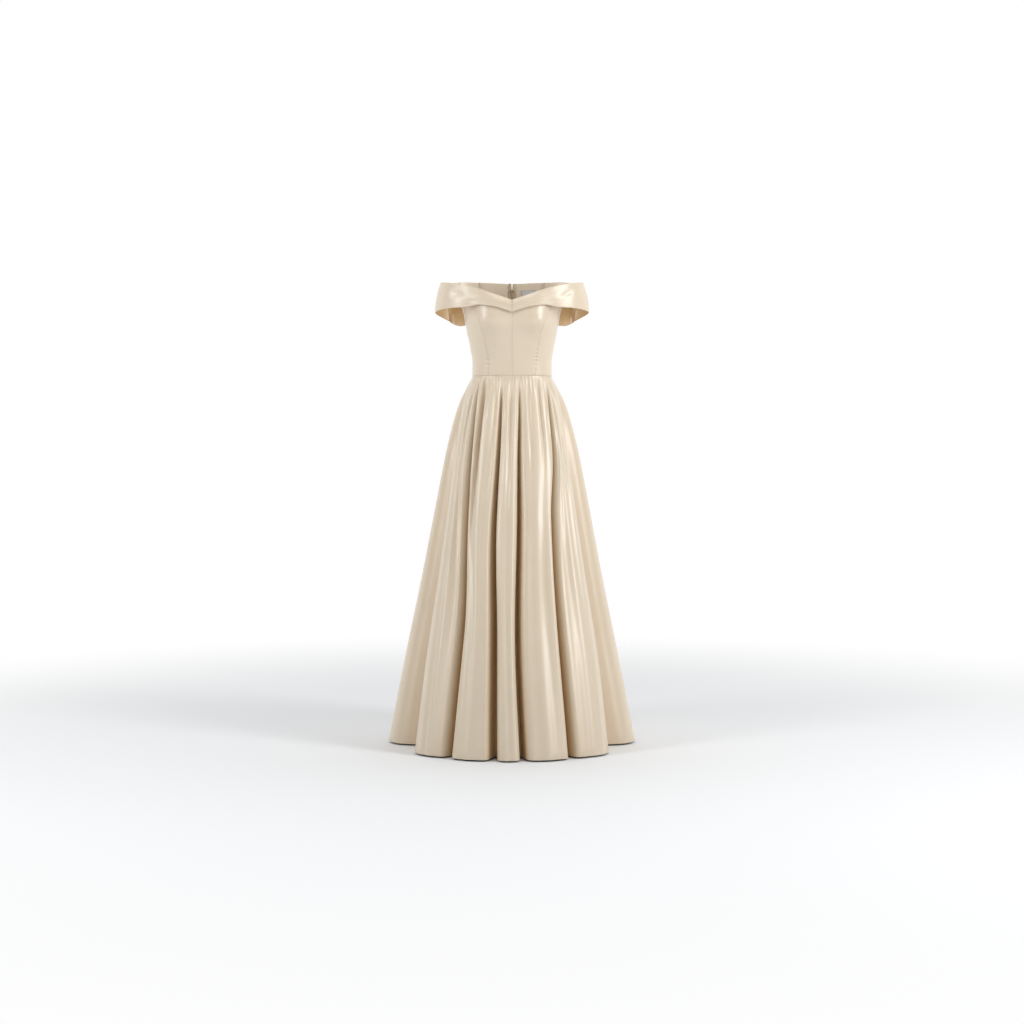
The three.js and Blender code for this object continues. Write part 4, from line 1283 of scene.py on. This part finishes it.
hook = doubled(rounded_line(HOOK_LINE, 9), 0.5)
wire("hook", np.concatenate([foot_loop(hook[0], -1)[:-1], hook, foot_loop(hook[-1], 1)[::-1][1:]]))
eye = rounded_line(EYE_LINE, 9)
wire("eye", np.concatenate([foot_loop(eye[0], -1)[:-1], eye, foot_loop(eye[-1], 1)[::-1][1:]]))


def thread():
    material, tree = new_material("thread")
    place = tree.node("TexCoord", {}, {}, output="Object")
    ply = tree.noise(place, (0.25, 0.25, 0.5), detail=1.0)
    colour = ply.mixed((0.66, 0.54, 0.40, 1), (0.54, 0.42, 0.29, 1))
    surfaced(tree, Base_Color=colour, Roughness=ply * 0.1 + 0.5, Normal=ply.bump(0.5, 0.00005))
    return material


def stitch(shape, middle, along, length, thick):
    """Adds one stitch of thread, thickest in its middle."""
    turn = Vector(along).to_track_quat("X", "Z").to_matrix().to_4x4()
    size = Matrix.Diagonal((length / 2, thick / 2, thick / 2, 1))
    place = Matrix.Translation(middle) @ turn @ size
    bmesh.ops.create_icosphere(shape, subdivisions=2, radius=1, matrix=place)


THREAD = thread()
stitches = bmesh.new()
for foot, away in ((hook[0], -1), (hook[-1], 1), (eye[0], -1), (eye[-1], 1)):
    centre = Vector((foot[0] + away * LOOP_RADIUS, WIRE_BEHIND, foot[1]))
    for i, degrees in enumerate((20, 95, 170, 250, 320)):
        way = Vector((math.cos(math.radians(degrees)), 0, math.sin(math.radians(degrees))))
        middle = centre + way * (LOOP_RADIUS + 0.15) + Vector((0, 0.1 * (i % 2), 0))
        stitch(stitches, middle, way, 2.5 - 0.2 * (i % 3), 0.95)
finished(stitches, "hook_and_eye_stitches", THREAD, "dress")

# Label.
# A small blank woven label with a thin darker border, sewn flat to the facing inside the back.
LABEL_DEPTH, LABEL_WALL, STITCH_DEPTH = 2.9, 0.5, 3.45
LABEL_COLUMNS, LABEL_ROWS = (-77, -29), (234, 265)


def label_surface(across, height, depth=LABEL_DEPTH):
    """A point inside the back, by its distance from the centre line and its height."""
    across, height = np.broadcast_arrays(across, height)
    angle = seam_angle(-across, height, False)
    return at_angle(angle, torso_radius(angle, height) - depth, height)


def label_cloth(half, tall):
    """Fine damask: ribs across, and the border woven in 1.6 mm from the edge. The sizes are in metres."""
    material, tree = new_material("label")
    across, along, grain = grain_of(tree)
    low = tree.math("MINIMUM", along, tall - along)
    edge = tree.math("MINIMUM", low, half - tree.math("ABSOLUTE", across))
    border = tree.math("COMPARE", edge, 1.9 * MM, 0.32 * MM)
    rib, yarn = ribs(tree, along, 0.42), ribs(tree, across, 0.3)
    cloud = tree.noise(grain, (12, 12, 1))
    plain = cloud.mixed((0.60, 0.59, 0.575, 1), (0.52, 0.51, 0.50, 1))
    colour = border.mixed(plain, (0.10, 0.095, 0.09, 1))
    normal = (rib * 0.6 + yarn * 0.4 + border * 0.5).bump(0.5, 0.00006)
    surfaced(tree, Base_Color=colour, Roughness=rib * 0.1 + 0.5, Normal=normal, Sheen_Weight=0.1)
    return material


def label_curl(points, u, v):
    """The lower corners stand off the facing a little."""
    aside = np.abs((u + 53) / 24) ** 4
    return -0.5 * aside * np.clip((250 - v) / 16, 0, 1) + 0.08 * np.sin(u / 5) * np.sin(v / 7)


label = sewn_panel(
    "label_woven",
    label_surface,
    np.linspace(*LABEL_COLUMNS, 30),
    np.linspace(*LABEL_ROWS, 20),
    {},
    label_curl,
    reach=(0.5, 0.5),
)
corners = np.zeros(2 * len(label.data.loops), np.float32)
label.data.uv_layers["grain"].data.foreach_get("uv", corners)
half, tall = (float(most) for most in corners.reshape(-1, 2).max(0))
thickened(label, LABEL_WALL, label_cloth(half, tall))
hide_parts("label")

tacks = bmesh.new()
low, high = LABEL_ROWS
first, last = LABEL_COLUMNS
spots = [(x, z, 0.6, 0) for z in (low + 0.8, high - 0.8) for x in np.arange(first + 2, last - 1, 2.7)]
spots += [(x, z, 0, 0.6) for x in (first + 0.8, last - 0.8) for z in np.arange(low + 2, high - 1, 2.7)]
for x, z, sideways, upward in spots:
    places = [(np.full((1, 1), x + way * sideways), z + way * upward) for way in (-1, 1)]
    ends = [label_surface(*place, STITCH_DEPTH)[0, 0] for place in places]
    middle, along = (ends[0] + ends[1]) / 2, ends[1] - ends[0]
    stitch(tacks, Vector(middle), along, 1.7, 0.36)
finished(tacks, "label_stitches", THREAD, "dress")

# Plain studio.
# A pale floor just under the hem, a soft white surround, and large soft lamps at both sides and above.
FLOOR = -1.098
CAMERA_DOWN = 2.35


def studio_floor():
    """White paper near the dress, which takes its shadow, and runs out into the white surround."""
    material, tree = new_material("floor")
    place = tree.node("TexCoord", {}, {}, output="Object")
    away = tree.node("VectorMath", {"operation": "LENGTH"}, {0: place}, output="Value")
    reach = {"Value": away, "From Min": 1.1, "From Max": 3.2}
    far = tree.node("MapRange", {"interpolation_type": "SMOOTHSTEP"}, reach)
    paper = tree.node("BsdfPrincipled", {}, {"Base Color": (0.80, 0.815, 0.835, 1), "Roughness": 0.8})
    surround = tree.node("Emission", {}, {"Color": (1, 1, 1, 1), "Strength": 1.0})
    both = tree.node("MixShader", {}, {0: far, 1: paper, 2: surround})
    tree.node("OutputMaterial", {}, {"Surface": both})
    piece = bmesh.new()
    bmesh.ops.create_circle(piece, cap_ends=True, radius=40, segments=96)
    bmesh.ops.translate(piece, verts=piece.verts, vec=(0, 0, FLOOR))
    mesh = bpy.data.meshes.new("floor")
    piece.to_mesh(mesh)
    piece.free()
    mesh.materials.append(material)
    linked("floor", mesh)


def softbox(name, place, target, size, watts, colour):
    """A large soft lamp that faces its target. Sizes are in metres."""
    lamp = bpy.data.lights.new(name, "AREA")
    lamp.shape, lamp.size, lamp.size_y = "RECTANGLE", size[0], size[1]
    lamp.energy, lamp.color = watts, colour
    holder = linked(name, lamp)
    holder.location = place
    holder.rotation_euler = (Vector(target) - Vector(place)).to_track_quat("-Z", "Y").to_euler()


def surround(front, behind):
    """White paper stands behind the dress, and in front is a dim room. The camera sees white all round."""
    world = bpy.data.worlds.new("studio")
    world.use_nodes = True
    world.node_tree.nodes.clear()
    tree = Wire(world.node_tree)
    way = tree.node("TexCoord", {}, {}, output="Generated")
    ahead = tree.node("SeparateXYZ", {}, {"Vector": way}, output="Y")
    edge = {"Value": ahead, "From Min": -0.35, "From Max": 0.5}
    paper = tree.node("MapRange", {"interpolation_type": "SMOOTHSTEP"}, edge)
    light = paper * (behind - front) + front
    seen = tree.node("LightPath", {}, {}, output="Is Camera Ray")
    strength = seen * (1 - light) + light
    white = tree.node("Background", {}, {"Color": (1, 1, 1, 1), "Strength": strength})
    tree.node("OutputWorld", {}, {"Surface": white})
    bpy.context.scene.world = world


studio_floor()
surround(0.26, 1.05)
softbox("key", (2.9, -1.8, 1.3), (0, 0, -0.55), (0.9, 3.0), 75, (1, 0.99, 0.97))
softbox("fill", (-2.8, -1.9, 1.2), (0, 0, -0.65), (0.8, 2.8), 43, (1, 0.99, 0.975))
softbox("top", (0, -1.4, 2.7), (0, 0, 0), (1.6, 1.2), 14, (1, 1, 1))
bpy.context.scene.view_settings.view_transform = "Standard"

lens = bpy.data.cameras.new("camera")
lens.lens, lens.sensor_width = 61, 36
camera = linked("camera", lens)
camera.location = (0, -5.2, -0.192)
camera.rotation_euler = (math.radians(90 - CAMERA_DOWN), 0, 0)
bpy.context.scene.camera = camera
